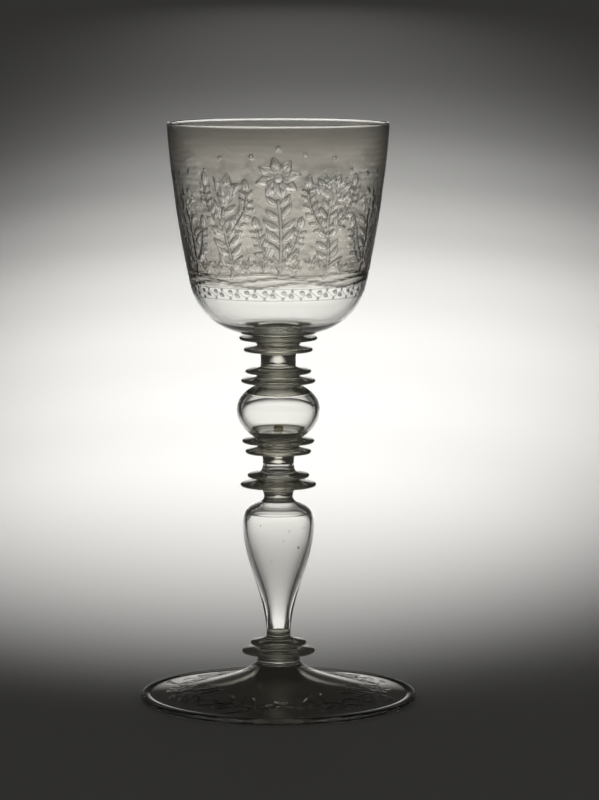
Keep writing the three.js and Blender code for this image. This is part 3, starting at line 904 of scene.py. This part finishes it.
# A neck's curve bends this far above the baluster's narrow neck, and this far below the middle neck's top.
NECK_FLARE = 2 * MM
# The post of the upper neck is this much slimmer in its middle.
POST_WAIST = 0.08 * MM
# A corner of the knop's void starts and bends at these multiples of its size.
CORNER_START = 2.5
CORNER_BEND = 0.7
# A cubic curve with controls this many radii out is nearly a half circle.
HALF_CIRCLE = 1.33
# A vertex whose normal rises more than this faces up.
FACING_UP = 0.2
# The engraved zone takes in what lies this close to the bowl's outside.
SKIN_DEPTH = 0.3 * MM


def stem_material(colours):
    """The glass of the hollow stem pieces."""
    return blown_glass("Blown soda glass", tuple(colours.stem), tuple(colours.solid))


def thick_material(colours):
    """The glass of the solid mereses, the collar and the bead."""
    return blown_glass("Thick soda glass", tuple(colours.merese), tuple(colours.merese))


def upper_side(piece):
    """Which of a piece's vertices face up."""
    return vertex_values(piece, "normal")[:, 2] > FACING_UP


def mark_solid(piece, low, high):
    """Marks the levels of a hollow piece where it is solid glass, below its void and above it."""
    heights = vertex_values(piece, "co")[:, 2]
    write_attribute(piece, "solid", (heights < low - WELD) | (heights > high + WELD))


def make_foot(sizes, colours):
    """The foot: a blown plate with a folded hem and a solid neck, engraved with a wreath."""
    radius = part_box("foot")[1].x
    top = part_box("foot")[1].z
    top_radius = level_radius("foot", top)
    hem_radius = sizes.hem_thickness / 2
    ring_inner = radius - hem_radius - sizes.ring_width / 2
    ring_outer = ring_inner + sizes.ring_width
    hem_inner = radius - sizes.hem_width
    edge = hem_inner - sizes.edge_sweep
    plate_top = sizes.hem_thickness - sizes.hem_step
    plate_foot = plate_top - sizes.wall
    ceiling = sizes.hollow_height
    side = ceiling - sizes.hollow_corner
    reach = sizes.hollow_radius
    neck = sizes.neck_radius
    # From the middle of the hollow's ceiling down to the plate's underside.
    outline = Outline([(0, ceiling), (reach - sizes.hollow_corner, ceiling)])
    outline.curve((reach, ceiling), (reach, side), step=0.15 * MM)
    outline.curve(
        (reach, side - sizes.hollow_sweep), (edge, plate_foot + sizes.edge_rise), (hem_inner, plate_foot),
        step=1.2 * MM,
    )
    # Round the hem, which touches the table with a flat ring.
    outline.curve((hem_inner + HEM_UNDERSIDE, plate_foot), (ring_inner, 0), step=0.5 * MM)
    outline.append((ring_outer, 0))
    outline.curve((radius, 0), (radius, hem_radius), step=0.3 * MM)
    outline.curve((radius, sizes.hem_thickness), (radius - hem_radius, sizes.hem_thickness), step=0.3 * MM)
    outline.curve((hem_inner + HEM_CREST, sizes.hem_thickness), (hem_inner, plate_top), step=0.4 * MM)
    # Up the plate to the neck.
    outline.curve(
        (edge, plate_top + sizes.edge_rise), (neck, sizes.neck_height - sizes.neck_sweep),
        (neck, sizes.neck_height), step=0.75 * MM,
    )
    outline.curve((top_radius, top), step=0.6 * MM)
    outline.append((0, top))
    piece = turned("glass_foot", outline, FOOT_STEPS)
    places = vertex_values(piece, "co")
    away = np.hypot(places[:, 0], places[:, 1])
    chosen = np.nonzero((away > sizes.wreath_inner) & (away < hem_inner - MM) & upper_side(piece))[0]
    turn = QUARTER + math.pi / WREATH_REPEATS
    patch = Patch(*lay_flat(places[chosen], WREATH_RADIUS, WREATH_REPEATS, turn, away[chosen]), 0.0)
    engrave_wreath(patch)
    engrave(piece, chosen, [(chosen, patch)], sizes.wreath_depth, 0.0)
    draw = random.Random(3)
    seeds = []
    for i in range(FOOT_SEEDS):
        angle = TURN * (i + draw.uniform(-0.3, 0.3)) / FOOT_SEEDS
        place = point_at((0, 0), angle, sizes.seed_ring * draw.uniform(0.85, 1.1))
        height = sizes.seed_height + draw.uniform(-0.5, 0.5) * MM
        seeds.append(seed((*place, height), sizes.seed_radius * draw.uniform(0.6, 1.3)))
    glass = engraved_glass("Engraved foot glass", tuple(colours.foot), tuple(colours.matt))
    finish_piece(joined(piece, seeds), "foot", glass, [(top, top_radius)])


def make_merese(node, sizes, glass):
    """A thin disc on a short core. Its underside slopes up to a round edge, and its top is nearly flat."""
    base, top, core, root = ends(node)
    edge = sizes.merese_edge
    tip = widest_height(node)
    tip_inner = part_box(node)[1].x - edge
    neck = sizes.merese_neck if node == NECKED_MERESE else 0
    drop = top - neck - tip - edge
    outline = Outline([(0, base), (core, base)])
    outline.curve((core + sizes.core_fillet, tip - 2 * edge), (tip_inner, tip - edge), step=0.35 * MM)
    outline += arc((tip_inner, tip), (edge, edge), -QUARTER, QUARTER, 0.22 * MM)
    outline.curve((root + sizes.core_fillet, tip + edge + drop / 2), (root, top - neck), step=0.35 * MM)
    if neck:
        outline.append((root, top))
    outline.append((0, top))
    piece = turned("glass_" + node, outline, STEM_STEPS)
    finish_piece(piece, node, glass, [(base, core), (top, root)])


def make_collar(sizes, glass):
    """The collar pressed on the bowl's base: flat above, with a thin lip, and drawn in to the merese."""
    base, top, core, radius = ends("bowl_collar")
    lip_foot = top - sizes.collar_lip
    outline = Outline([(0, base), (core, base)])
    outline.curve((core + sizes.core_fillet, lip_foot), (radius, lip_foot), step=0.35 * MM)
    outline += [(radius, top), (0, top)]
    piece = turned("glass_bowl_collar", outline, STEM_STEPS)
    finish_piece(piece, "bowl_collar", glass, [(base, core), (top, radius)])


def make_baluster(sizes, glass):
    """The hollow baluster: an inverted pear round a smooth void, with seeds in its wall."""
    base, top, foot, top_radius = ends("baluster")
    belly_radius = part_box("baluster")[1].x
    belly = base + sizes.belly_height
    neck = belly + sizes.shoulder_height
    outline = Outline([(0, base), (foot, base)])
    outline.curve(
        (foot + sizes.foot_flare, base + sizes.foot_sweep), (belly_radius, belly - sizes.lower_sweep),
        (belly_radius, belly), step=0.7 * MM,
    )
    outline.curve(
        (belly_radius, belly + sizes.shoulder_sweep), (sizes.neck_radius, neck - sizes.neck_sweep),
        (sizes.neck_radius, neck), step=0.35 * MM,
    )
    outline.curve((sizes.neck_radius, neck + NECK_FLARE), (top_radius, top), step=0.35 * MM)
    outline.append((0, top))
    dome = belly + sizes.dome_rise
    crease = belly + sizes.crease_rise
    floor = base + sizes.void_floor
    wall = sizes.baluster_wall
    creased = wall + sizes.crease_step
    shoulder = inner_side(outline[2:], wall, belly, crease)
    shoulder += inner_side(outline[2:], creased, crease + sizes.crease_step, dome - sizes.dome_drop)
    void = Outline([(0, dome)])
    void.curve((sizes.dome_reach, dome), shoulder[-1], step=0.4 * MM)
    void += shoulder[-2::-1]
    hollow = belly_radius - wall
    taper = Outline([(hollow, belly)])
    taper.curve(
        (hollow, belly - sizes.lower_sweep), (sizes.throat_radius, base + sizes.throat_sweep),
        (sizes.mouth_radius, floor), step=0.7 * MM,
    )
    void += taper[1:]
    void.append((0, floor))
    parts = [turned("baluster_void", void, STEM_STEPS, void=True)]
    upwards = np.array(taper[:0:-1])
    for angle, height, size in BALUSTER_SEEDS:
        inner = float(np.interp(height * MM, upwards[:, 1], upwards[:, 0]))
        place = point_at((0, 0), math.radians(angle) - QUARTER, inner + wall / 2)
        parts.append(seed((*place, height * MM), sizes.seed_radius * size, SEED_STRETCH))
    piece = joined(turned("glass_baluster", outline, STEM_STEPS), parts)
    mark_solid(piece, floor, dome)
    finish_piece(piece, "baluster", glass, [(base, foot), (top, top_radius)])


def make_middle_neck(sizes, glass):
    """The middle neck: a waisted post round a flat bubble."""
    base, top, flare, top_radius = ends("middle_neck")
    waist = sizes.waist_radius
    middle = (base + top) / 2
    outline = Outline([(0, base), (flare, base)])
    outline.curve((waist, base + sizes.waist_flare), (waist, middle), step=0.3 * MM)
    outline.curve((waist, top - NECK_FLARE), (top_radius, top), step=0.3 * MM)
    outline.append((0, top))
    floor = base + sizes.bubble_floor
    crown = floor + sizes.bubble_height
    rim = sizes.bubble_radius
    corner = sizes.bubble_corner
    void = Outline([(0, floor), (rim - corner, floor)])
    void.curve((rim, floor), (rim, floor + corner), step=0.12 * MM)
    void.append((rim, crown - corner))
    void.curve((rim, crown), (rim - corner, crown), step=0.12 * MM)
    void.append((0, crown))
    piece = hollow_piece("glass_middle_neck", outline, void)
    mark_solid(piece, floor, crown)
    finish_piece(piece, "middle_neck", glass, [(base, flare), (top, top_radius)])


def make_knop(sizes, glass):
    """The hollow knop, a ball flattened at its poles round a void."""
    base, top, foot, top_radius = ends("knop")
    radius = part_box("knop")[1].x
    belly = base + sizes.knop_belly
    bead_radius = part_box("knop_bead")[1].x
    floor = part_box("knop_bead")[0].z
    foot_angle = math.acos(foot / radius)
    top_angle = math.acos(top_radius / radius)
    lower_half = (belly - base) / math.sin(foot_angle)
    upper_half = (top - belly) / math.sin(top_angle)
    outline = Outline([(0, base), (foot, base)])
    outline += arc((0, belly), (radius, lower_half), -foot_angle, 0, 0.5 * MM)
    outline += arc((0, belly), (radius, upper_half), 0, top_angle, 0.5 * MM)
    outline.append((0, top))
    wall = sizes.knop_wall
    corner = sizes.knop_corner
    ceiling = top - sizes.knop_ceiling
    rim = floor + sizes.knop_dish
    upper = (radius - wall, upper_half - wall)
    lower = (radius - wall, lower_half - wall)
    up_angle = math.asin((ceiling - belly - corner) / upper[1])
    down_angle = math.asin((belly - rim - corner) / lower[1])
    high_side = arc((0, belly), upper, up_angle, 0, 0.4 * MM)
    low_side = arc((0, belly), lower, 0, -down_angle, 0.4 * MM)
    high, low = high_side[0][0], low_side[-1][0]
    void = Outline([(0, ceiling), (high - CORNER_START * corner, ceiling)])
    void.curve((high - CORNER_BEND * corner, ceiling), high_side[0], step=0.2 * MM)
    void += high_side[1:] + low_side
    void.curve((low - CORNER_BEND * corner, rim), (low - CORNER_START * corner, rim), step=0.2 * MM)
    void.curve(((low - CORNER_START * corner) / 2, floor), (bead_radius, floor), step=0.8 * MM)
    void.append((0, floor))
    piece = hollow_piece("glass_knop", outline, void)
    mark_solid(piece, floor, ceiling)
    seams = [(base, foot), (top, top_radius), (floor, bead_radius)]
    finish_piece(piece, "knop", glass, seams)


def half_ball(floor, radius, height):
    """The outline of a half ball that stands on a flat floor."""
    side = arc((0, floor), (radius, height), 0, QUARTER, 0.15 * MM)[:-1]
    return [(0, floor), (radius, floor), *side, (0, floor + height)]


def make_bead(sizes, glass):
    """The bead on the knop's floor: a half ball of glass round a blister of air."""
    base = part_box("knop_bead")[0].z
    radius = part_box("knop_bead")[1].x
    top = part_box("knop_bead")[1].z
    wall = sizes.bead_wall
    air_floor = base + wall / 2
    air_height = top - base - wall
    dome = half_ball(base, radius, top - base)
    air = half_ball(air_floor, radius - wall, air_height)
    bead = hollow_piece("glass_knop_bead", dome, air, STEM_STEPS // 2)
    finish_piece(bead, "knop_bead", glass, [(base, radius)])


def make_upper_neck(sizes, glass):
    """The upper neck, a short post with a leaf-thin bubble low inside it."""
    base, top, low_radius, high_radius = ends("upper_neck")
    waist = low_radius - POST_WAIST
    outline = Outline([(0, base), (low_radius, base)])
    outline.curve((waist, base + MM), (waist, (base + top) / 2), step=0.3 * MM)
    outline.curve((waist, top - MM), (high_radius, top), step=0.3 * MM)
    outline.append((0, top))
    level = base + sizes.leaf_height
    half = sizes.leaf_thickness / 2
    reach = sizes.leaf_radius - half
    leaf = Outline([(0, level - half)])
    leaf.curve((reach, level - half), (sizes.leaf_radius, level), step=0.5 * MM)
    leaf.curve((reach, level + half), (0, level + half), step=0.5 * MM)
    piece = hollow_piece("glass_upper_neck", outline, leaf)
    mark_solid(piece, level - half, level + half)
    finish_piece(piece, "upper_neck", glass, [(base, low_radius), (top, high_radius)])


def make_bowl(sizes, colours):
    """The bowl: a bucket with a rounded base, engraved outside, with a border between two cut lines."""
    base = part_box("bowl")[0].z
    lip_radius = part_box("bowl")[1].x
    seat = level_radius("bowl", base)
    seam = level_radius("bowl_collar", base)
    shoulder = base + sizes.shoulder_height
    shoulder_radius = sizes.shoulder_radius
    lip_round = sizes.lip_wall / 2
    side_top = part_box("bowl")[1].z - lip_round
    lip_top = side_top + lip_round * HALF_CIRCLE
    inner_lip = lip_radius - sizes.lip_wall
    inner_shoulder = shoulder_radius - sizes.shoulder_wall

    def base_step(heights):
        """Fine where the border is cut, and coarse below it."""
        return np.where(heights > sizes.band_foot - 0.8 * MM, 0.42 * MM, 1.9 * MM)

    def inner_step(heights):
        """Fine at the lip, and coarser further down."""
        return np.clip(0.5 * MM + 0.5 * (side_top - heights), 0.5 * MM, 5 * MM)

    # Up the outside from the seat to the lip.
    outline = Outline([(0, base), (seam, base), (seat, base)])
    outline.curve(
        (seat + sizes.base_sweep, base + sizes.base_rise),
        (shoulder_radius - sizes.shoulder_inset, shoulder - sizes.shoulder_sweep),
        (shoulder_radius, shoulder), step=base_step,
    )
    outline.curve(
        (shoulder_radius + sizes.side_flare, shoulder + sizes.side_sweep),
        (lip_radius - sizes.lip_inset, side_top - sizes.lip_sweep), (lip_radius, side_top), step=0.8 * MM,
    )
    outside = np.array(outline[3:])
    # Over the lip and down the inside to the mound.
    outline.curve((lip_radius, lip_top), (inner_lip, lip_top), (inner_lip, side_top), step=0.25 * MM)
    outline.curve(
        (inner_lip - sizes.lip_inset, side_top - sizes.lip_sweep),
        (inner_shoulder + sizes.side_flare, shoulder + sizes.side_sweep), (inner_shoulder, shoulder),
        step=inner_step,
    )
    floor = base + sizes.floor
    mound = sizes.mound_radius
    outline.curve(
        (inner_shoulder - sizes.shoulder_inset, shoulder - sizes.inner_sweep),
        (mound + sizes.base_sweep, floor), (mound, floor), step=3 * MM,
    )
    crown = floor + sizes.mound_height
    outline.curve((mound - sizes.mound_edge, floor), (sizes.mound_crown, crown), (0, crown), step=2.2 * MM)
    piece = turned("glass_bowl", outline, BOWL_STEPS)
    # The matt zone with its flowers, and the border below it.
    places = vertex_values(piece, "co")
    heights = places[:, 2]
    away = np.hypot(places[:, 0], places[:, 1])
    outer = away > np.interp(heights, outside[:, 1], outside[:, 0]) - SKIN_DEPTH
    outer &= (heights > sizes.band_foot - MM) & (heights < side_top)
    zone = np.nonzero(outer & (heights > sizes.band_top) & (heights < sizes.zone_top))[0]
    band = np.nonzero(outer & (heights <= sizes.band_top + 0.5 * MM))[0]
    panel_radius = FLOWER_PANEL_WIDTH * FLOWER_PANELS / TURN
    turn = QUARTER + math.pi / FLOWER_PANELS
    up = heights[zone] - sizes.band_top
    flowers = Patch(*lay_flat(places[zone], panel_radius, FLOWER_PANELS, turn, up), 1.0)
    engrave_flowers(flowers)
    border_radius = BORDER_STEP * BORDER_REPEATS / TURN
    border = Patch(*lay_flat(places[band], border_radius, BORDER_REPEATS, QUARTER, heights[band]), 0.0)
    engrave_border(border, sizes.band_foot, sizes.band_top)
    engrave(piece, zone, [(zone, flowers), (band, border)], sizes.cut_depth, 1.0)
    glass = engraved_glass("Engraved bowl glass", tuple(colours.bowl), tuple(colours.matt))
    finish_piece(piece, "bowl", glass, [(base, seam)])


# The stage

FLOOR_SIZE = 400
# The floor lies this little way below the foot's flat ring, for the air under a real foot, which stands on
# its highest points.
FLOOR_GAP = 0.1 * MM
# A row of pools of light runs away behind the goblet, each pool longer than the one before it.
POOL_COUNT = 13
POOL_NEAR = 0.554
POOL_FAR = 53.8
POOL_HEIGHT = 3.0
# A far lamp hangs higher, at this share of its distance.
POOL_SLOPE = 0.543
# Half the length of a pool, as a share of its distance.
POOL_REACH = 1.036
# Half the width of a pool one metre away in metres, and the power of the distance by which it grows.
POOL_WIDTH = 0.433
POOL_SPREAD = 0.543
# How far to the right the row stands, and how far it drifts there with each doubling of the distance.
POOL_SHIFT = -0.005
POOL_DRIFT = 0.044
# The power of a lamp in watts at some distances in metres.
POOL_POWERS = ((0.5, 80), (1, 99), (2, 207), (5, 72), (12, 93), (45, 780))
LAMP_RADIUS = 0.05
# The pools at the other three sides: distance and radius in metres, and power in watts.
SIDE_POOL_DISTANCE = 1.35
SIDE_POOL_RADIUS = 1.1
SIDE_POOL_POWER = 400
# The room's glow: how wide it is, how far above the horizon, and the warm white of the dim room.
GLOW_RADIUS = math.radians(12.5)
GLOW_HEIGHT = math.radians(-1)
ROOM_WHITE = (1, 0.985, 0.94, 1)
# The size of the camera's sensor in millimetres, along the longer side of the picture.
SENSOR_SIZE = 36


def hang_pool(name, place, half_length, half_width, power):
    """A soft-edged spot lamp that hangs over its pool of light on the floor."""
    light = bpy.data.lights.new(name, "SPOT")
    light.energy = power
    lamp = bpy.data.objects.new(name, light)
    bpy.context.scene.collection.objects.link(lamp)
    lamp.location = place
    light.spot_size = 2 * math.atan(half_length / place[2])
    light.spot_blend = 1.0
    light.shadow_soft_size = LAMP_RADIUS
    lamp.scale = (half_width / half_length, 1, 1)
    lamp.visible_glossy = False
    lamp.visible_transmission = False


def studio_room(stage):
    """The dim room, with a soft glow low over the floor on each side, brightest behind the goblet."""
    world = bpy.data.worlds.new("Studio room")
    world.use_nodes = True
    tree = world.node_tree
    background = tree.nodes["Background"]
    background.inputs["Color"].default_value = ROOM_WHITE
    direction = add_node(tree, "TexCoord").outputs["Generated"]
    total = None
    glows = ((90, stage.glow_light), (0, stage.side_glow), (180, stage.side_glow), (-90, stage.side_glow))
    for azimuth, strength in glows:
        flat = point_at((0, 0), math.radians(azimuth), math.cos(GLOW_HEIGHT))
        nearness = add_node(
            tree, "VectorMath", {1: (*flat, math.sin(GLOW_HEIGHT))}, {0: direction}, operation="DOT_PRODUCT",
        )
        glow = add_node(
            tree, "MapRange", {"From Min": math.cos(GLOW_RADIUS), "From Max": 1.0, "To Max": strength},
            {"Value": nearness.outputs["Value"]}, interpolation_type="SMOOTHSTEP",
        )
        added = add_node(tree, "Math", {1: stage.room_light}, {0: glow}, operation="ADD")
        if total:
            tree.links.new(total, added.inputs[1])
        total = added.outputs["Value"]
    tree.links.new(total, background.inputs["Strength"])
    return world


def make_stage(stage, colours):
    """The floor, the room and the pools of light."""
    bpy.ops.object.select_all(action="DESELECT")
    bpy.ops.mesh.primitive_plane_add(size=FLOOR_SIZE, location=(0, 0, -FLOOR_GAP))
    floor = bpy.context.object
    floor.name = "studio_floor"
    floor.data.materials.append(painted_floor(tuple(colours.floor)))
    bpy.context.scene.world = studio_room(stage)
    known, watts = np.log2(POOL_POWERS).T
    for i, step in enumerate(np.linspace(math.log2(POOL_NEAR), math.log2(POOL_FAR), POOL_COUNT)):
        distance = float(2 ** step)
        place = (POOL_SHIFT + POOL_DRIFT * float(step), distance, max(POOL_HEIGHT, POOL_SLOPE * distance))
        power = float(2 ** np.interp(step, known, watts)) * stage.pool_light
        hang_pool(f"pool_{i}", place, POOL_REACH * distance, POOL_WIDTH * distance ** POOL_SPREAD, power)
    for azimuth in (90, -90, 180):
        place = point_at((0, 0), math.radians(azimuth) + QUARTER, SIDE_POOL_DISTANCE)
        power = SIDE_POOL_POWER * stage.side_light
        hang_pool(f"side_pool_{azimuth}", (*place, POOL_HEIGHT), SIDE_POOL_RADIUS, SIDE_POOL_RADIUS, power)


def make_camera(stage):
    """The camera at the photograph's angle."""
    camera = bpy.data.objects.new("camera", bpy.data.cameras.new("camera"))
    bpy.context.scene.collection.objects.link(camera)
    camera.data.sensor_width = SENSOR_SIZE
    camera.data.lens = stage.lens
    camera.location = (0, -stage.camera_distance, stage.camera_height)
    camera.rotation_euler = (QUARTER - stage.pitch, 0, -stage.yaw)
    bpy.context.scene.camera = camera


def set_light_paths(scene):
    """Keeps the tones plain, and lets light pass through all the walls and seams of the stem."""
    scene.view_settings.view_transform = "Standard"
    scene.cycles.max_bounces = 32
    scene.cycles.transmission_bounces = 32
    scene.cycles.glossy_bounces = 12
    scene.cycles.transparent_max_bounces = 48
    scene.cycles.sample_clamp_indirect = 4


# Operators

class GobletFoot(bpy.types.Operator):
    """Builds the blown foot with its hem and wreath"""
    bl_idname = "goblet.foot"
    bl_label = "Foot"

    def execute(self, context):
        make_foot(context.scene.goblet_foot, context.scene.goblet_colours)
        return {"FINISHED"}


class GobletMereses(bpy.types.Operator):
    """Builds the ten mereses and the collar below the bowl"""
    bl_idname = "goblet.mereses"
    bl_label = "Mereses and collar"

    def execute(self, context):
        sizes = context.scene.goblet_stem
        glass = thick_material(context.scene.goblet_colours)
        for node in MERESES:
            make_merese(node, sizes, glass)
        make_collar(sizes, glass)
        return {"FINISHED"}


class GobletBaluster(bpy.types.Operator):
    """Builds the hollow baluster"""
    bl_idname = "goblet.baluster"
    bl_label = "Baluster"

    def execute(self, context):
        make_baluster(context.scene.goblet_stem, stem_material(context.scene.goblet_colours))
        return {"FINISHED"}


class GobletNecks(bpy.types.Operator):
    """Builds the middle neck with its bubble, and the upper neck"""
    bl_idname = "goblet.necks"
    bl_label = "Necks"

    def execute(self, context):
        glass = stem_material(context.scene.goblet_colours)
        make_middle_neck(context.scene.goblet_stem, glass)
        make_upper_neck(context.scene.goblet_stem, glass)
        return {"FINISHED"}


class GobletKnop(bpy.types.Operator):
    """Builds the hollow knop and the bead inside it"""
    bl_idname = "goblet.knop"
    bl_label = "Knop and bead"

    def execute(self, context):
        colours = context.scene.goblet_colours
        make_knop(context.scene.goblet_stem, stem_material(colours))
        make_bead(context.scene.goblet_stem, thick_material(colours))
        return {"FINISHED"}


class GobletBowl(bpy.types.Operator):
    """Builds the engraved bowl"""
    bl_idname = "goblet.bowl"
    bl_label = "Bowl"

    def execute(self, context):
        make_bowl(context.scene.goblet_bowl, context.scene.goblet_colours)
        return {"FINISHED"}


class GobletStudio(bpy.types.Operator):
    """Sets the floor, the lamps and the camera"""
    bl_idname = "goblet.studio"
    bl_label = "Stage"

    def execute(self, context):
        make_stage(context.scene.goblet_stage, context.scene.goblet_colours)
        make_camera(context.scene.goblet_stage)
        set_light_paths(context.scene)
        return {"FINISHED"}


class GobletPanel(bpy.types.Panel):
    """The goblet's operators and settings"""
    bl_idname = "VIEW3D_PT_goblet"
    bl_label = "Goblet"
    bl_space_type = "VIEW_3D"
    bl_region_type = "UI"
    bl_category = "Goblet"

    def draw(self, context):
        for operator in OPERATORS:
            self.layout.operator(operator.bl_idname)
        for name, group in SETTINGS.items():
            box = self.layout.box()
            box.label(text=group.__doc__)
            for size in group.__annotations__:
                box.prop(getattr(context.scene, name), size)


OPERATORS = (GobletStudio, GobletFoot, GobletMereses, GobletBaluster, GobletNecks, GobletKnop, GobletBowl)
SETTINGS = {
    "goblet_foot": GobletFootSizes,
    "goblet_stem": GobletStemSizes,
    "goblet_bowl": GobletBowlSizes,
    "goblet_colours": GobletColours,
    "goblet_stage": GobletStage,
}


def register():
    """Registers the classes, and hangs the settings on the scene."""
    for group in (*SETTINGS.values(), *OPERATORS, GobletPanel):
        bpy.utils.register_class(group)
    for name, group in SETTINGS.items():
        setattr(bpy.types.Scene, name, PointerProperty(type=group))


def unregister():
    """Takes the settings and the classes away again."""
    for name in SETTINGS:
        delattr(bpy.types.Scene, name)
    for group in (GobletPanel, *OPERATORS, *SETTINGS.values()):
        bpy.utils.unregister_class(group)


def main():
    """Builds the goblet and its stage."""
    register()
    bpy.ops.goblet.studio()
    bpy.ops.goblet.foot()
    bpy.ops.goblet.mereses()
    bpy.ops.goblet.baluster()
    bpy.ops.goblet.necks()
    bpy.ops.goblet.knop()
    bpy.ops.goblet.bowl()


if __name__ == "__main__":
    main()
